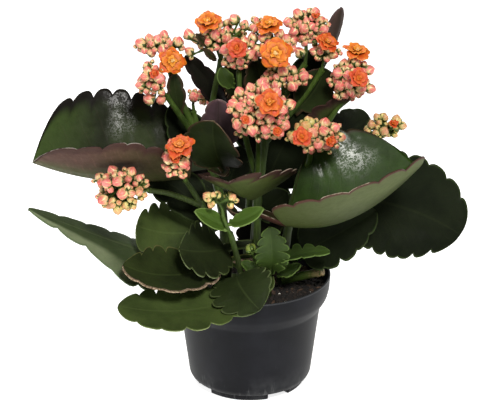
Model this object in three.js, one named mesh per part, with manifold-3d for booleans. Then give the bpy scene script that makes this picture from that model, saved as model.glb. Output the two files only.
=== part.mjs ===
// A potted kalanchoe: fleshy scalloped leaves and domed heads of buds and double flowers, in a nursery pot.
// Millimetres, +Z up. The origin is on the pot's axis, on the surface that it stands on. -Y is the front.
import * as THREE from "three";
import { mergeVertices } from "three/addons/utils/BufferGeometryUtils.js";
import Module from "manifold-3d";

const wasm = await Module();
wasm.setup();

// ---------------------------------------------------------------- driving dimensions

const gap = 0.35; // left between any two pieces
const tiny = 1e-6;

const pot = {
  // [radius, height] up the outside of the wall, from the floor's edge to the rim
  outside: [
    [42, 4.7], [44.8, 5.8], [46.3, 8.8], [53, 62], [55.3, 65.5], [58.3, 70.5], [59.8, 76.5], [60.5, 87],
  ],
  // and down the inside, 1.4 mm in from it
  inside: [[59.1, 87], [58.4, 77], [51.4, 64], [44.9, 9.4], [43, 6.4]],
  drains: 6,
  drainRadius: 3,
  drainRing: 24,
  drainSides: 6,
  sides: 24,
};

// The feet are a low ring under the floor with gaps in it.
const foot = { inner: 33, outer: 41.2, outerTop: 41.7, top: 5.7, count: 4, gapDegrees: 26, firstGap: -58 };

const soil = { edgeHeight: 76, crown: 4, lump: 0.7, lumpRun: 3.4, lumpShift: 1.7, rings: 3, sides: 16 };

const blade = {
  middle: 1.9, // thickness at the midrib
  edge: 0.9,
  petiole: 3.2, // half the width of the leaf stalk
  petioleShare: 0.12, // of the leaf's length
  shoulder: 0.08, // of the blade, where the last row before the first scallop's stands
  shoulderFrom: 42, // a narrower leaf has no such row
  smoothShare: 0.2, // of the blade, before the first scallop
  scallopDepth: 3.4,
  shallowest: 0.14, // a small leaf's scallops are this share of its half width
  crests: [0.27, 0.73], // where a scallop is at its widest
  taper: 0.5, // 1 is a narrow leaf, less is a blunter one
  widest: 0.47, // where along the blade it is widest
  tipHalfWidth: 1.4,
  innerColumn: 0.55, // of the half width
};

const stalk = {
  trunkSides: 5,
  trunkSteps: 4,
  trunkTaper: 0.3,
  start: 0.6, // the stalk's radius where it leaves the trunk, as a share of the trunk's
  end: 0.45,
  sides: 4,
  steps: 2,
  rooted: 3, // how deep a stalk or a branch starts inside what carries it
  branchRadius: 1.5,
  branchSides: 3,
  spread: 0.45, // how far the two branches part
  clear: 2, // between a branch's end and the head
};

const bud = {
  length: 10.4,
  belly: 4.1,
  bellyAt: 0.64, // of the length
  smallest: 0.85,
  sizeRange: 0.25,
  sides: 4, // a bud is four-angled
  sunk: 2.2, // how deep its root is in the core
  sunkRange: 1.6,
  upturn: 0.15, // how far it leans towards the head's axis
  cover: 0.31, // of the head's surface
  capReach: 112, // degrees from the head's axis to its lowest buds
  crowding: 0.97, // two bellies may come this near, as a share of their radii
};
const core = { sides: 6, rows: 4, least: 2.4 };
const [firstSeed, seedStep] = [101, 17]; // each head draws its own buds

const flower = {
  closedLift: 62, // degrees that the outer petals rise
  openLift: 14,
  steepest: 80,
  thickness: 0.8,
  layersHalfOpen: 2,
  neckLength: 6,
  neckRadius: 1.5,
  neckSides: 3,
  heartRadius: 0.9,
  heartHeight: 0.6, // of the flower's radius
  heartTop: 0.7,
  roomSides: 10,
  roomSteeper: 30,
  roomUnder: 2.5,
  clear: 1.5,
};

// A flower's layers of petals, from the outside in. Each stands steeper than the one outside it, and higher.
// A petal's outline is given as [share of its reach, share of its turn], from one notch to the next.
const petalLayers = [
  { petals: 6, reach: 1, steeper: 0, height: 0,
    outline: [[0.34, -0.5], [0.8, -0.38], [1, 0], [0.8, 0.38]] },
  { petals: 4, reach: 0.72, steeper: 20, height: 1.9,
    outline: [[0.32, -0.5], [0.95, -0.26], [0.95, 0.26]] },
  { petals: 3, reach: 0.44, steeper: 34, height: 3.6,
    outline: [[0.4, -0.5], [1, -0.22], [1, 0.22]] },
];

const looks = {
  pot: { color: 0x303236, roughness: 0.55, metalness: 0 },
  soil: { color: 0x2a1d14, roughness: 0.95, metalness: 0 },
  leaf: { color: 0x2f4a1c, roughness: 0.35, metalness: 0 },
  stem: { color: 0x5b7d2c, roughness: 0.45, metalness: 0 },
  bud: { color: 0xe88c7a, roughness: 0.5, metalness: 0 },
  bloom: { color: 0xf0701c, roughness: 0.5, metalness: 0 },
};

// ---------------------------------------------------------------- the plan of the plant

// Each stem starts in the soil and forks into flower stalks. bend is a place on a stalk's way to its head.
const stemPlan = [
  {
    name: "stem_middle",
    radius: 4.2,
    trunk: [[3, 8, 57], [3, 8, 87], [6, 10, 145], [12, 8, 195]],
    stalks: [
      { head: "head_top_right", bend: [28, 12, 227] },
      { head: "head_top_middle", bend: [14, 6, 227] },
      { head: "head_upper_right", bend: [38, 8, 221] },
      { head: "head_middle_right", bend: [20, 2, 214] },
    ],
    bracts: [
      { root: [9, 9, 172], middle: [0, 22, 204], tip: [-8, 22, 243],
        face: [0, -1, 0.2], width: 36, fold: [12, 6], curl: 8, scallops: 3 },
      { root: [32, 8, 210], middle: [47, 6, 228], tip: [53, 5, 245],
        face: [0, -0.95, 0.2], width: 32, fold: [14, 8], curl: 8, scallops: 2 },
    ],
  },
  {
    name: "stem_left",
    radius: 4.2,
    trunk: [[-18, 6, 57], [-18, 6, 87], [-22, 4, 145], [-36, 2, 192]],
    stalks: [
      { head: "head_left_top", bend: [-52, 2, 227] },
      { head: "head_left_upper", bend: [-50, -6, 212] },
      { head: "head_left_inner", bend: [-39, 5, 202] },
      { head: "head_top_left", bend: [-26, 6, 226] },
    ],
    bracts: [
      { root: [-50, -6, 213], middle: [-53, -9, 229], tip: [-54, -10, 246],
        face: [0.2, -0.9, 0.2], width: 14, fold: [14, 8], curl: 8, scallops: 2 },
      { root: [-31, 3, 176], middle: [-44, 8, 193], tip: [-57, 8, 217],
        face: [-0.2, -0.8, 0.5], width: 30, fold: [12, 6], curl: 8, scallops: 3 },
    ],
  },
  {
    name: "stem_front",
    radius: 3.8,
    trunk: [[4, -14, 57], [4, -14, 87], [5, -18, 135], [5, -22, 175]],
    stalks: [
      { head: "head_front", bend: [6, -28, 190] },
      { head: "head_upper_middle", bend: [-6, -12, 212] },
    ],
    bracts: [],
  },
  {
    name: "stem_right",
    radius: 4,
    trunk: [[24, -2, 57], [24, -2, 87], [30, -4, 135], [38, -8, 171]],
    stalks: [
      { head: "head_right", bend: [54, -4, 202] },
      { head: "head_far_right", bend: [72, 12, 178] },
      { head: "head_front_right", bend: [42, -26, 184] },
    ],
    stub: { from: [25, -4, 82], to: [54, -17, 95], radius: 3.4 },
    bracts: [],
  },
  {
    name: "stem_front_left",
    radius: 3.8,
    trunk: [[-22, -16, 57], [-22, -16, 87], [-28, -20, 125], [-36, -26, 155]],
    stalks: [
      { head: "head_front_left", bend: [-42, -33, 166] },
      { head: "head_left_low", bend: [-56, -38, 164] },
    ],
    bracts: [
      { root: [-28, -19, 122], middle: [-54, -14, 142], tip: [-88, -14, 154],
        face: [0, -0.75, 0.65], width: 38, fold: [10, 6], curl: 8, scallops: 3 },
    ],
  },
  {
    name: "stem_front_low",
    radius: 2.8,
    trunk: [[-6, -28, 57], [-6, -28, 87], [-8, -40, 110], [-14, -52, 140]],
    stalks: [{ head: "head_front_low", bend: [-17, -56, 148] }],
    bracts: [
      { root: [-16, -54, 144], middle: [-26, -59, 152], tip: [-38, -66, 162],
        face: [0.3, -0.7, 0.7], width: 14, fold: [20, 10], curl: 8, scallops: 1 },
      { root: [-15, -54, 149], middle: [-4, -59, 153], tip: [9, -63, 163],
        face: [-0.3, -0.5, 0.8], width: 15, fold: [20, 10], curl: 8, scallops: 1 },
    ],
  },
  {
    name: "shoot_front",
    radius: 2.4,
    trunk: [[14, -26, 57], [14, -26, 87], [15, -31, 108]],
    stalks: [],
    bracts: [
      { root: [15, -29, 100], middle: [16, -42, 119], tip: [14, -46, 142],
        face: [0, -0.8, 0.6], width: 28, fold: [16, 8], curl: 8, scallops: 3 },
      { root: [15, -29, 104], middle: [31, -36, 116], tip: [58, -39, 120],
        face: [-0.1, -0.3, 1], width: 20, fold: [16, 8], curl: 8, scallops: 2 },
    ],
  },
  {
    name: "stem_back",
    radius: 4,
    trunk: [[-2, 26, 57], [-2, 26, 87], [0, 32, 135], [0, 36, 171]],
    stalks: [
      { head: "head_back_left", bend: [-12, 42, 182] },
      { head: "head_back_right", bend: [20, 42, 186] },
    ],
    bracts: [
      { root: [-1, 26, 90], middle: [9, 17, 104], tip: [20, 15, 124],
        face: [0, -1, 0.2], width: 44, fold: [10, 6], curl: 8, scallops: 2 },
    ],
  },
];

// A leaf's spine passes through root, middle and tip. Its upper side looks along face. Where its root is not
// on a stem, a leaf stalk comes to it from start.
// fold is how far each half rises off the flat, in degrees, at the base and at the tip. curl adds to it
// outwards.
const leafPlan = [
  { name: "leaf_left_upper", root: [-28, 4, 165], middle: [-95, -10, 165], tip: [-156, -22, 184],
    face: [0, -0.2, 1], width: 135, fold: [50, 42], curl: 8, scallops: 5, taper: 0.21 },
  { name: "leaf_right_glossy", root: [16, -28, 142], middle: [66, -44, 147], tip: [121, -22, 180],
    start: [5, -19, 143], face: [-0.3, -0.22, 1], width: 142, fold: [50, 40], curl: 8, scallops: 5,
    taper: 0.26 },
  { name: "leaf_right_far", root: [44, 10, 143], middle: [106, 20, 134], tip: [158, 8, 114],
    start: [32, -5, 144], face: [0.2, -0.9, 0.4], width: 82, fold: [12, 4], curl: 8, scallops: 6,
    taper: 0.42 },
  { name: "leaf_right_low", root: [32, -8, 105], middle: [61, -13, 121], tip: [93, -6, 139],
    start: [27, -3, 106], face: [0.1, -0.8, 0.5], width: 44, fold: [10, 6], curl: 8, scallops: 4,
    widest: 0.36 },
  { name: "leaf_middle_bowl", root: [5, -16, 158], middle: [-1, -48, 166], tip: [-15, -76, 188],
    face: [0, 0.5, 0.9], width: 80, fold: [24, 16], curl: 14, scallops: 5 },
  { name: "leaf_inner_left", root: [-18, -16, 174], middle: [-25, -32, 196], tip: [-26, -42, 220],
    start: [-30, 3, 171], face: [-0.3, -0.8, 0.5], width: 48, fold: [12, 8], curl: 10, scallops: 3 },
  { name: "leaf_inner_back", root: [-23, 3, 176], middle: [-23, -2, 198], tip: [-22, -6, 225],
    start: [-34, 2, 184], face: [0.2, 0.9, 0.2], width: 30, fold: [14, 8], curl: 10, scallops: 3 },
  { name: "leaf_top_left", root: [-14, 12, 201], middle: [-28, 13, 229], tip: [-47, 11, 252],
    start: [12, 8, 195], face: [-0.6, -0.5, 0.5], width: 20, fold: [16, 8], curl: 8, scallops: 3 },
  { name: "leaf_top_right", root: [40, 12, 221], middle: [58, 31, 251], tip: [65, 30, 283],
    face: [-0.6, 0.5, 0.3], width: 24, fold: [18, 8], curl: 8, scallops: 2 },
  { name: "leaf_upper_right", root: [46, -1, 193], middle: [54, 0, 207], tip: [72, -4, 226],
    face: [-0.5, 0.2, 0.9], width: 38, fold: [44, 30], curl: 10, scallops: 3 },
  { name: "leaf_right_back", root: [48, 22, 172], middle: [70, 34, 183], tip: [89, 34, 198],
    start: [37, -7, 164], face: [-0.5, -0.3, 0.8], width: 48, fold: [16, 10], curl: 8, scallops: 4 },
  { name: "leaf_left_low", root: [-40, -6, 97], middle: [-90, -24, 119], tip: [-159.5, -34, 152],
    start: [-24, -17, 97], face: [0.15, -0.15, 1], width: 56, fold: [-16, -6], curl: -4, scallops: 5,
    widest: 0.2, taper: 0.8 },
  { name: "leaf_left_corky", root: [-14, -28, 108], middle: [-56, -58, 110], tip: [-90, -64, 121],
    start: [4, -15, 106], face: [0.25, -0.25, 1], width: 54, fold: [6, 6], curl: 14, scallops: 4 },
  { name: "leaf_left_middle", root: [-28, -8, 126], middle: [-57, -16, 125], tip: [-82, -28, 136],
    start: [-21, 5, 126], face: [0, -0.75, 0.65], width: 50, fold: [-8, -8], curl: -6, scallops: 4 },
  { name: "leaf_front_inner", root: [-14, -22, 117], middle: [-32, -46, 123], tip: [-50, -60, 131],
    start: [5, -17, 117], face: [0.1, -0.75, 0.65], width: 46, fold: [10, 6], curl: 8, scallops: 4 },
  { name: "leaf_front_wide", root: [12, -42, 92], middle: [-42, -76, 91], tip: [-93, -84, 98],
    start: [14, -28, 95], face: [0.05, -0.3, 1], width: 52, fold: [10, 2], curl: 4, scallops: 5 },
  { name: "leaf_front_rim", root: [-10, -36, 102], middle: [-6, -62, 101], tip: [7, -79, 92],
    face: [-0.25, -0.5, 0.8], width: 48, fold: [8, 4], curl: 6, scallops: 4 },
  { name: "leaf_back_left", root: [-12, 28, 125], middle: [-44, 58, 142], tip: [-72, 86, 136],
    start: [0, 31, 124], face: [0, 0.1, 1], width: 62, fold: [14, 6], curl: 6, scallops: 3 },
  { name: "leaf_back_middle", root: [0, 32, 113], middle: [4, 70, 128], tip: [8, 104, 111],
    face: [0, 0.1, 1], width: 60, fold: [14, 6], curl: 6, scallops: 3 },
  { name: "leaf_back_right", root: [20, 26, 105], middle: [52, 60, 115], tip: [84, 84, 101],
    start: [-1, 28, 106], face: [0, 0.1, 1], width: 62, fold: [14, 6], curl: 6, scallops: 3 },
  { name: "leaf_back_upper", root: [6, 22, 130], middle: [19, 31, 163], tip: [35, 35, 194],
    start: [5, 9, 130], face: [0, -0.9, 0.4], width: 52, fold: [14, 8], curl: 8, scallops: 3 },
];

// centre and radii give a head's envelope, axis the way that it looks, and fork where its flower stalk
// divides. The lower heads are still green, so they have a color of their own.
const headPlan = [
  { name: "head_top_right", fork: [40, 12, 246], centre: [41, 13, 273],
    radii: [20, 15, 21], axis: [0.1, -0.2, 1] },
  { name: "head_top_middle", fork: [18, 0, 247], centre: [19, -6, 264],
    radii: [20, 15, 15], axis: [0, -0.2, 1] },
  { name: "head_middle_right", fork: [24, -2, 229], centre: [25, -14, 243],
    radii: [23, 13, 14], axis: [0.2, -0.7, 0.5] },
  { name: "head_upper_right", fork: [52, 4, 244], centre: [54, 0, 258],
    radii: [12, 11, 12], axis: [0.1, -0.3, 1] },
  { name: "head_right", fork: [66, -4, 222], centre: [72, -8, 240],
    radii: [21, 18, 20], axis: [0.3, -0.3, 0.9] },
  { name: "head_far_right", fork: [92, 16, 185], centre: [100, 16, 196],
    radii: [20, 12, 15], axis: [0.4, -0.1, 0.9], color: 0xdfb98e },
  { name: "head_front", fork: [6, -32, 204], centre: [7, -42, 227],
    radii: [27, 21, 26], axis: [0, -0.6, 0.8] },
  { name: "head_front_right", fork: [43, -36, 196], centre: [45, -46, 211],
    radii: [24, 15, 17], axis: [0.1, -0.6, 0.8] },
  { name: "head_top_left", fork: [-21, 6, 251], centre: [-22, 6, 267],
    radii: [22.5, 14, 17], axis: [0, -0.1, 1] },
  { name: "head_upper_middle", fork: [-8, -6, 246], centre: [-9, -12, 260],
    radii: [17, 12, 15], axis: [0, -0.5, 0.9] },
  { name: "head_left_top", fork: [-60, 0, 252], centre: [-63, -3, 265],
    radii: [22, 15, 12], axis: [-0.1, -0.2, 1] },
  { name: "head_left_upper", fork: [-60, -12, 230], centre: [-69, -18, 243],
    radii: [15, 14, 17], axis: [-0.4, -0.4, 0.7] },
  { name: "head_left_inner", fork: [-41, 6, 212], centre: [-41, 4, 225],
    radii: [9, 9, 12], axis: [0.1, -0.3, 1] },
  { name: "head_front_left", fork: [-46, -42, 176], centre: [-51, -53, 195],
    radii: [16, 14, 20], axis: [-0.1, -0.5, 0.9] },
  { name: "head_left_low", fork: [-72, -46, 170], centre: [-91, -52, 173],
    radii: [24, 19, 21], axis: [-0.8, -0.4, 0.4], color: 0xd9c998 },
  { name: "head_front_low", fork: [-19, -58, 155], centre: [-20, -62, 170],
    radii: [15, 10, 10], axis: [0, -0.3, 1], color: 0xd2d19a },
  { name: "head_back_left", fork: [-22, 46, 195], centre: [-26, 52, 209],
    radii: [20, 16, 14], axis: [-0.2, 0.4, 0.9] },
  { name: "head_back_right", fork: [36, 46, 199], centre: [40, 54, 213],
    radii: [20, 16, 14], axis: [0.2, 0.4, 0.9] },
];

// Open flowers. open is 1 for flat petals and 0 for a closed cup.
const bloomPlan = [
  { name: "bloom_top_left", at: [-29, 0, 278.5],
    look: [-0.2, -0.5, 0.8], radius: 11, open: 0.6 },
  { name: "bloom_left_top", at: [-56, -16, 256],
    look: [0.3, -0.8, 0.4], radius: 11, open: 1 },
  { name: "bloom_upper_middle", at: [-9, -23, 267],
    look: [0, -0.8, 0.5], radius: 9, open: 0.4, color: 0xe2531f },
  { name: "bloom_top_middle", at: [14, -6, 278],
    look: [-0.1, -0.4, 0.9], radius: 11, open: 0.8 },
  { name: "bloom_middle", at: [18, -24, 264],
    look: [0, -0.9, 0.4], radius: 12.5, open: 1 },
  { name: "bloom_upper_right", at: [54, -5, 265],
    look: [0.3, -0.5, 0.8], radius: 10, open: 0.6 },
  { name: "bloom_right_top", at: [76, -4, 258],
    look: [0.1, -0.3, 0.9], radius: 11, open: 0.8 },
  { name: "bloom_right", at: [76, -26, 246],
    look: [0.1, -0.8, 0.5], radius: 9, open: 0.4 },
  { name: "bloom_front", at: [13, -65, 240],
    look: [0.1, -0.8, 0.6], radius: 11, open: 0.7 },
  { name: "bloom_front_right", at: [36, -60, 214],
    look: [0, -0.8, 0.5], radius: 9, open: 0.3 },
  { name: "bloom_front_left", at: [-48, -63, 208],
    look: [-0.2, -0.6, 0.8], radius: 11, open: 0.9 },
];

// ---------------------------------------------------------------- solids

const vector = (point) => new THREE.Vector3(...point);
const unit = (point) => vector(point).normalize();
const radians = THREE.MathUtils.degToRad;
const { lerp } = THREE.MathUtils;

// A closed geometry as a manifold-3d solid.
function solidOf(geometry) {
  const bare = new THREE.BufferGeometry();
  bare.setAttribute("position", geometry.getAttribute("position"));
  if (geometry.index) bare.setIndex(geometry.index);
  const merged = mergeVertices(bare);
  return new wasm.Manifold(
    new wasm.Mesh({
      numProp: 3,
      vertProperties: new Float32Array(merged.attributes.position.array),
      triVerts: new Uint32Array(merged.index.array),
    }),
  );
}

const joined = (solids) => solids.reduce((whole, solid) => whole.add(solid));
const meets = (solid, other) => solid.intersect(other).volume() > 0;

// A solid's largest connected piece. Scraps that a cut leaves are dropped.
function largestBody(solid) {
  return solid.decompose().reduce((best, body) => (body.volume() > best.volume() ? body : best));
}

// A piece's mesh. The piece's own colour goes before the colour of its kind.
function pieceMesh({ name, color }, look, solid) {
  const { numProp, vertProperties, triVerts } = solid.getMesh();
  const places = [];
  for (let i = 0; i < vertProperties.length; i += numProp) places.push(...vertProperties.subarray(i, i + 3));
  const geometry = new THREE.BufferGeometry();
  geometry.setAttribute("position", new THREE.Float32BufferAttribute(places, 3));
  geometry.setIndex(Array.from(triVerts));
  geometry.computeVertexNormals();
  const material = new THREE.MeshStandardMaterial({ ...look, color: color ?? look.color });
  const mesh = new THREE.Mesh(geometry, material);
  mesh.name = name;
  return mesh;
}

// A thin closed plate. Each point has a place on the upper face and one straight under it, and both faces
// are split into the same triangles, which are counter-clockwise from above.
function plateSolid(points, triangles) {
  const count = points.length;
  const index = [];
  const rim = new Map();
  triangles.forEach(([a, b, c]) => {
    index.push(a, b, c, count + a, count + c, count + b);
    [[a, b], [b, c], [c, a]].forEach(([from, to]) => {
      if (!rim.delete(`${to},${from}`)) rim.set(`${from},${to}`, [from, to]);
    });
  });
  rim.forEach(([from, to]) => index.push(to, from, count + from, to, count + from, count + to));
  const places = [...points.map(({ upper }) => upper), ...points.map(({ under }) => under)];
  const geometry = new THREE.BufferGeometry().setFromPoints(places);
  geometry.setIndex(index);
  return solidOf(geometry);
}

// A tube along a curve, with flat ends. Its section is a unit circle, drawn in to the radius at each ring.
function tube(curve, steps, radiusAt, sides) {
  const corners = Array.from({ length: sides }, (_, i) => {
    const turn = (2 * Math.PI * i) / sides;
    return new THREE.Vector2(Math.cos(turn), Math.sin(turn));
  });
  const extrusion = { extrudePath: curve, steps, bevelEnabled: false };
  const geometry = new THREE.ExtrudeGeometry(new THREE.Shape(corners), extrusion);
  const rings = curve.getSpacedPoints(steps);
  const position = geometry.getAttribute("position");
  const place = new THREE.Vector3();
  for (let i = 0; i < position.count; i++) {
    place.fromBufferAttribute(position, i);
    const distances = rings.map((ring) => ring.distanceTo(place));
    const nearest = distances.indexOf(Math.min(...distances));
    place.sub(rings[nearest]).multiplyScalar(radiusAt(nearest / steps)).add(rings[nearest]);
    position.setXYZ(i, place.x, place.y, place.z);
  }
  return solidOf(geometry);
}

// A lathe body about +Z, from [radius, height] pairs that start and end on the axis or close on themselves.
function lathe(profile, sides) {
  const points = profile.map(([radius, height]) => new THREE.Vector2(radius, height));
  return new THREE.LatheGeometry(points, sides).rotateX(Math.PI / 2);
}

// The turn that takes +Z to a direction.
function turnTo(direction) {
  const up = new THREE.Vector3(0, 0, 1);
  return new THREE.Quaternion().setFromUnitVectors(up, direction.clone().normalize());
}

// A geometry modelled along +Z, turned to look along a direction and set down at a place.
function placed(geometry, place, direction) {
  return solidOf(geometry.applyQuaternion(turnTo(direction)).translate(place.x, place.y, place.z));
}

// Numbers between 0 and 1 from a multiplicative congruential generator, the same at each run.
function seededRandom(seed) {
  const [factor, modulus] = [16807, 2147483647];
  let state = seed;
  return () => {
    state = (state * factor) % modulus;
    return state / modulus;
  };
}

// ---------------------------------------------------------------- pot and soil

const floorBottom = pot.outside[0][1];
const floorTop = pot.inside.at(-1)[1];

function potSolid() {
  const shell = solidOf(lathe([[0, floorBottom], ...pot.outside, ...pot.inside, [0, floorTop]], pot.sides));
  const { inner, outer, outerTop, top } = foot;
  const ring = solidOf(lathe([[inner, 0], [outer, 0], [outerTop, top], [inner, top], [inner, 0]], pot.sides));
  const notches = Array.from({ length: foot.count }, (_, i) => {
    const turn = radians(foot.firstGap + (360 / foot.count) * i);
    const width = 2 * outer * Math.sin(radians(foot.gapDegrees / 2));
    const box = new THREE.BoxGeometry(3 * (outer - inner), width, 2 * floorBottom);
    return solidOf(box.translate(outer, 0, 0).rotateZ(turn));
  });
  const drains = Array.from({ length: pot.drains }, (_, i) => {
    const turn = (2 * Math.PI * i) / pot.drains;
    const hole = new THREE.CylinderGeometry(pot.drainRadius, pot.drainRadius, 2 * floorTop, pot.drainSides);
    hole.rotateX(Math.PI / 2);
    hole.translate(pot.drainRing * Math.cos(turn), pot.drainRing * Math.sin(turn), floorTop);
    return solidOf(hole);
  });
  return shell.add(ring.subtract(joined(notches))).subtract(joined(drains));
}

// The soil fills the pot to just under the rim, and its top is a low lumpy mound.
function soilSolid() {
  const flatness = Math.cos(Math.PI / pot.sides); // the middle of a facet is nearer the axis than its edges
  const below = pot.inside.findIndex(([, height]) => height < soil.edgeHeight);
  const [upperRadius, upperHeight] = pot.inside[below - 1];
  const [lowerRadius, lowerHeight] = pot.inside[below];
  const climb = (soil.edgeHeight - lowerHeight) / (upperHeight - lowerHeight);
  const edge = lerp(lowerRadius, upperRadius, climb) * flatness - 2 * gap;
  const side = pot.inside.slice(below).map(([radius, height]) => [radius * flatness - gap, height + gap]);
  const mound = Array.from({ length: soil.rings }, (_, i) => {
    const share = (i + 1) / soil.rings;
    return [edge * (1 - share), soil.edgeHeight + soil.crown * Math.sin((share * Math.PI) / 2)];
  });
  const bottom = side.at(-1)[1];
  const geometry = lathe([[0, bottom], ...side.reverse(), [edge, soil.edgeHeight], ...mound], soil.sides);
  const position = geometry.getAttribute("position");
  for (let i = 0; i < position.count; i++) {
    const [u, v] = [position.getX(i) / soil.lumpRun, position.getY(i) / soil.lumpRun];
    const bump = soil.lump * (Math.sin(u + soil.lumpShift) + Math.cos(v - u / 3));
    if (position.getZ(i) > soil.edgeHeight) position.setZ(i, position.getZ(i) + bump);
  }
  return solidOf(geometry);
}

// ---------------------------------------------------------------- leaves

// Half the blade's width at a share of the leaf's length, with the margin's scallops.
function halfWidthAt(leaf, share) {
  if (share <= blade.petioleShare) return blade.petiole;
  const along = (share - blade.petioleShare) / (1 - blade.petioleShare);
  const { taper, widest } = { ...blade, ...leaf };
  const swell = Math.sin(Math.PI * Math.min(along, 1) ** (Math.log(0.5) / Math.log(widest)));
  const full = (leaf.width / 2) * Math.max(swell, 0) ** taper;
  const past = Math.max(0, (along - blade.smoothShare) / (1 - blade.smoothShare));
  const phase = (past * leaf.scallops) % 1;
  const scalloped = along > blade.smoothShare - tiny && along < 1 - tiny;
  const depth = Math.min(blade.scallopDepth, blade.shallowest * full);
  const notch = scalloped ? depth * Math.abs(2 * phase - 1) ** 3 : 0;
  return Math.max(full - notch, blade.petiole * (1 - along), blade.tipHalfWidth);
}

// The spine's place and direction at a share of the leaf's length. Below 0 it is where the leaf stalk starts.
function spineAt(leaf, share) {
  const [root, middle, tip] = [leaf.root, leaf.middle, leaf.tip].map(vector);
  if (share < 0) return { place: vector(leaf.start), along: root.sub(vector(leaf.start)).normalize() };
  const control = middle.clone().multiplyScalar(2).addScaledVector(root.clone().add(tip), -0.5);
  const spine = new THREE.QuadraticBezierCurve3(root, control, tip);
  return { place: spine.getPoint(share), along: spine.getTangent(share) };
}

// A place on the blade. across runs from -1 to 1, and upper is on the face that looks along leaf.face.
function bladePoint(leaf, share, across) {
  const { place, along } = spineAt(leaf, share);
  const face = vector(leaf.face);
  const up = face.addScaledVector(along, -face.dot(along)).normalize();
  const side = new THREE.Vector3().crossVectors(along, up).multiplyScalar(Math.sign(across));
  const half = halfWidthAt(leaf, share);
  const fold = radians(lerp(leaf.fold[0], leaf.fold[1], Math.max(share, 0)));
  const curl = radians(leaf.curl);
  const angle = fold + curl * Math.abs(across);
  const upper = place
    .addScaledVector(side, (half * (Math.sin(angle) - Math.sin(fold))) / curl)
    .addScaledVector(up, (half * (Math.cos(fold) - Math.cos(angle))) / curl);
  const thickness = lerp(blade.middle, blade.edge, Math.abs(across));
  const lean = across === 0 ? 0 : angle;
  const under = upper
    .clone()
    .addScaledVector(side, thickness * Math.sin(lean))
    .addScaledVector(up, -thickness * Math.cos(lean));
  return { upper, under };
}

// The blade's triangles run in strips between rows. A scallop's two crests stand between its end rows.
function leafSolid(leaf) {
  const points = [];
  const triangles = [];
  const columns = [-1, -blade.innerColumn, 0, blade.innerColumn, 1];
  const toShare = (along) => lerp(blade.petioleShare, 1, along);
  const toScallop = (count) => toShare(lerp(blade.smoothShare, 1, count / leaf.scallops));
  const point = (share, across) => points.push(bladePoint(leaf, share, across)) - 1;
  const row = (share) => columns.map((across) => point(share, across));
  const strips = (a, b, from, to) => {
    for (let i = from; i < to; i++) triangles.push([a[i], a[i + 1], b[i + 1]], [a[i], b[i + 1], b[i]]);
  };
  const stalkShares = leaf.start ? [-1, 0] : [0, blade.petioleShare];
  const shoulderShares = leaf.width < blade.shoulderFrom ? [] : [toShare(blade.shoulder)];
  const smoothRows = [...stalkShares, ...shoulderShares, toScallop(0)].map(row);
  smoothRows.slice(1).forEach((far, i) => strips(smoothRows[i], far, 0, columns.length - 1));
  let near = smoothRows.at(-1);
  for (let k = 0; k < leaf.scallops; k++) {
    const far = row(toScallop(k + 1));
    const [l1, l2] = blade.crests.map((crest) => point(toScallop(k + crest), -1));
    const [r1, r2] = blade.crests.map((crest) => point(toScallop(k + crest), 1));
    triangles.push([near[0], near[1], l1], [near[1], l2, l1], [near[1], far[1], l2], [far[1], far[0], l2]);
    strips(near, far, 1, 3);
    triangles.push([near[3], near[4], r1], [near[3], r1, r2], [near[3], r2, far[3]], [far[3], r2, far[4]]);
    near = far;
  }
  return plateSolid(points, triangles);
}

// ---------------------------------------------------------------- stems

// The radii of the small body that a head's buds stand out of.
function coreRadii(head) {
  return vector(head.radii).subScalar(bud.length - bud.sunk).max(new THREE.Vector3().setScalar(core.least));
}

// Where a branch ends: just short of the head's core, on the side away from where the head looks.
function seatOf(head, side, extra) {
  const below = unit(head.axis).negate();
  const across = new THREE.Vector3().crossVectors(below, new THREE.Vector3(0, 1, 0)).normalize();
  const direction = below.addScaledVector(across, side).normalize();
  const seat = direction.multiply(coreRadii(head)).add(vector(head.centre));
  return seat.addScaledVector(vector(head.fork).sub(seat).normalize(), stalk.clear - extra);
}

// A stalk runs from the top of the trunk to its fork, and two branches go on from there to the head.
function stalkSolids(trunk, { head: headName, bend }, radius, extra) {
  const head = headPlan.find(({ name }) => name === headName);
  const fork = vector(head.fork);
  const start = trunk.getPointAt(1 - stalk.rooted / trunk.getLength());
  const path = new THREE.CatmullRomCurve3([start, vector(bend), fork]);
  const forkRoot = fork.clone().addScaledVector(path.getTangent(1), -stalk.rooted);
  const radiusAt = (share) => radius * lerp(stalk.start, stalk.end, share) + extra;
  const branches = [stalk.spread, -stalk.spread].map((side) => {
    const line = new THREE.LineCurve3(forkRoot, seatOf(head, side, extra));
    return tube(line, 1, () => stalk.branchRadius + extra, stalk.branchSides);
  });
  return [tube(path, stalk.steps, radiusAt, stalk.sides), ...branches];
}

// An old cut side stem, which lies on the soil.
function stubSolid({ from, to, radius }, extra) {
  const line = new THREE.LineCurve3(vector(from), vector(to));
  return tube(line, 1, () => radius + extra, stalk.trunkSides);
}

// A stem without its small leaves. extra widens it, to give the room that it needs.
function bareStem(stem, extra = 0) {
  const trunk = new THREE.CatmullRomCurve3(stem.trunk.map(vector));
  const radiusAt = (share) => stem.radius * (1 - stalk.trunkTaper * share) + extra;
  const stub = stem.stub ? [stubSolid(stem.stub, extra)] : [];
  return joined([
    tube(trunk, stalk.trunkSteps, radiusAt, stalk.trunkSides),
    ...stub,
    ...stem.stalks.flatMap((path) => stalkSolids(trunk, path, stem.radius, extra)),
  ]);
}

const stemSolid = (stem) => joined([bareStem(stem), ...stem.bracts.map(leafSolid)]);

// ---------------------------------------------------------------- flower heads

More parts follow.
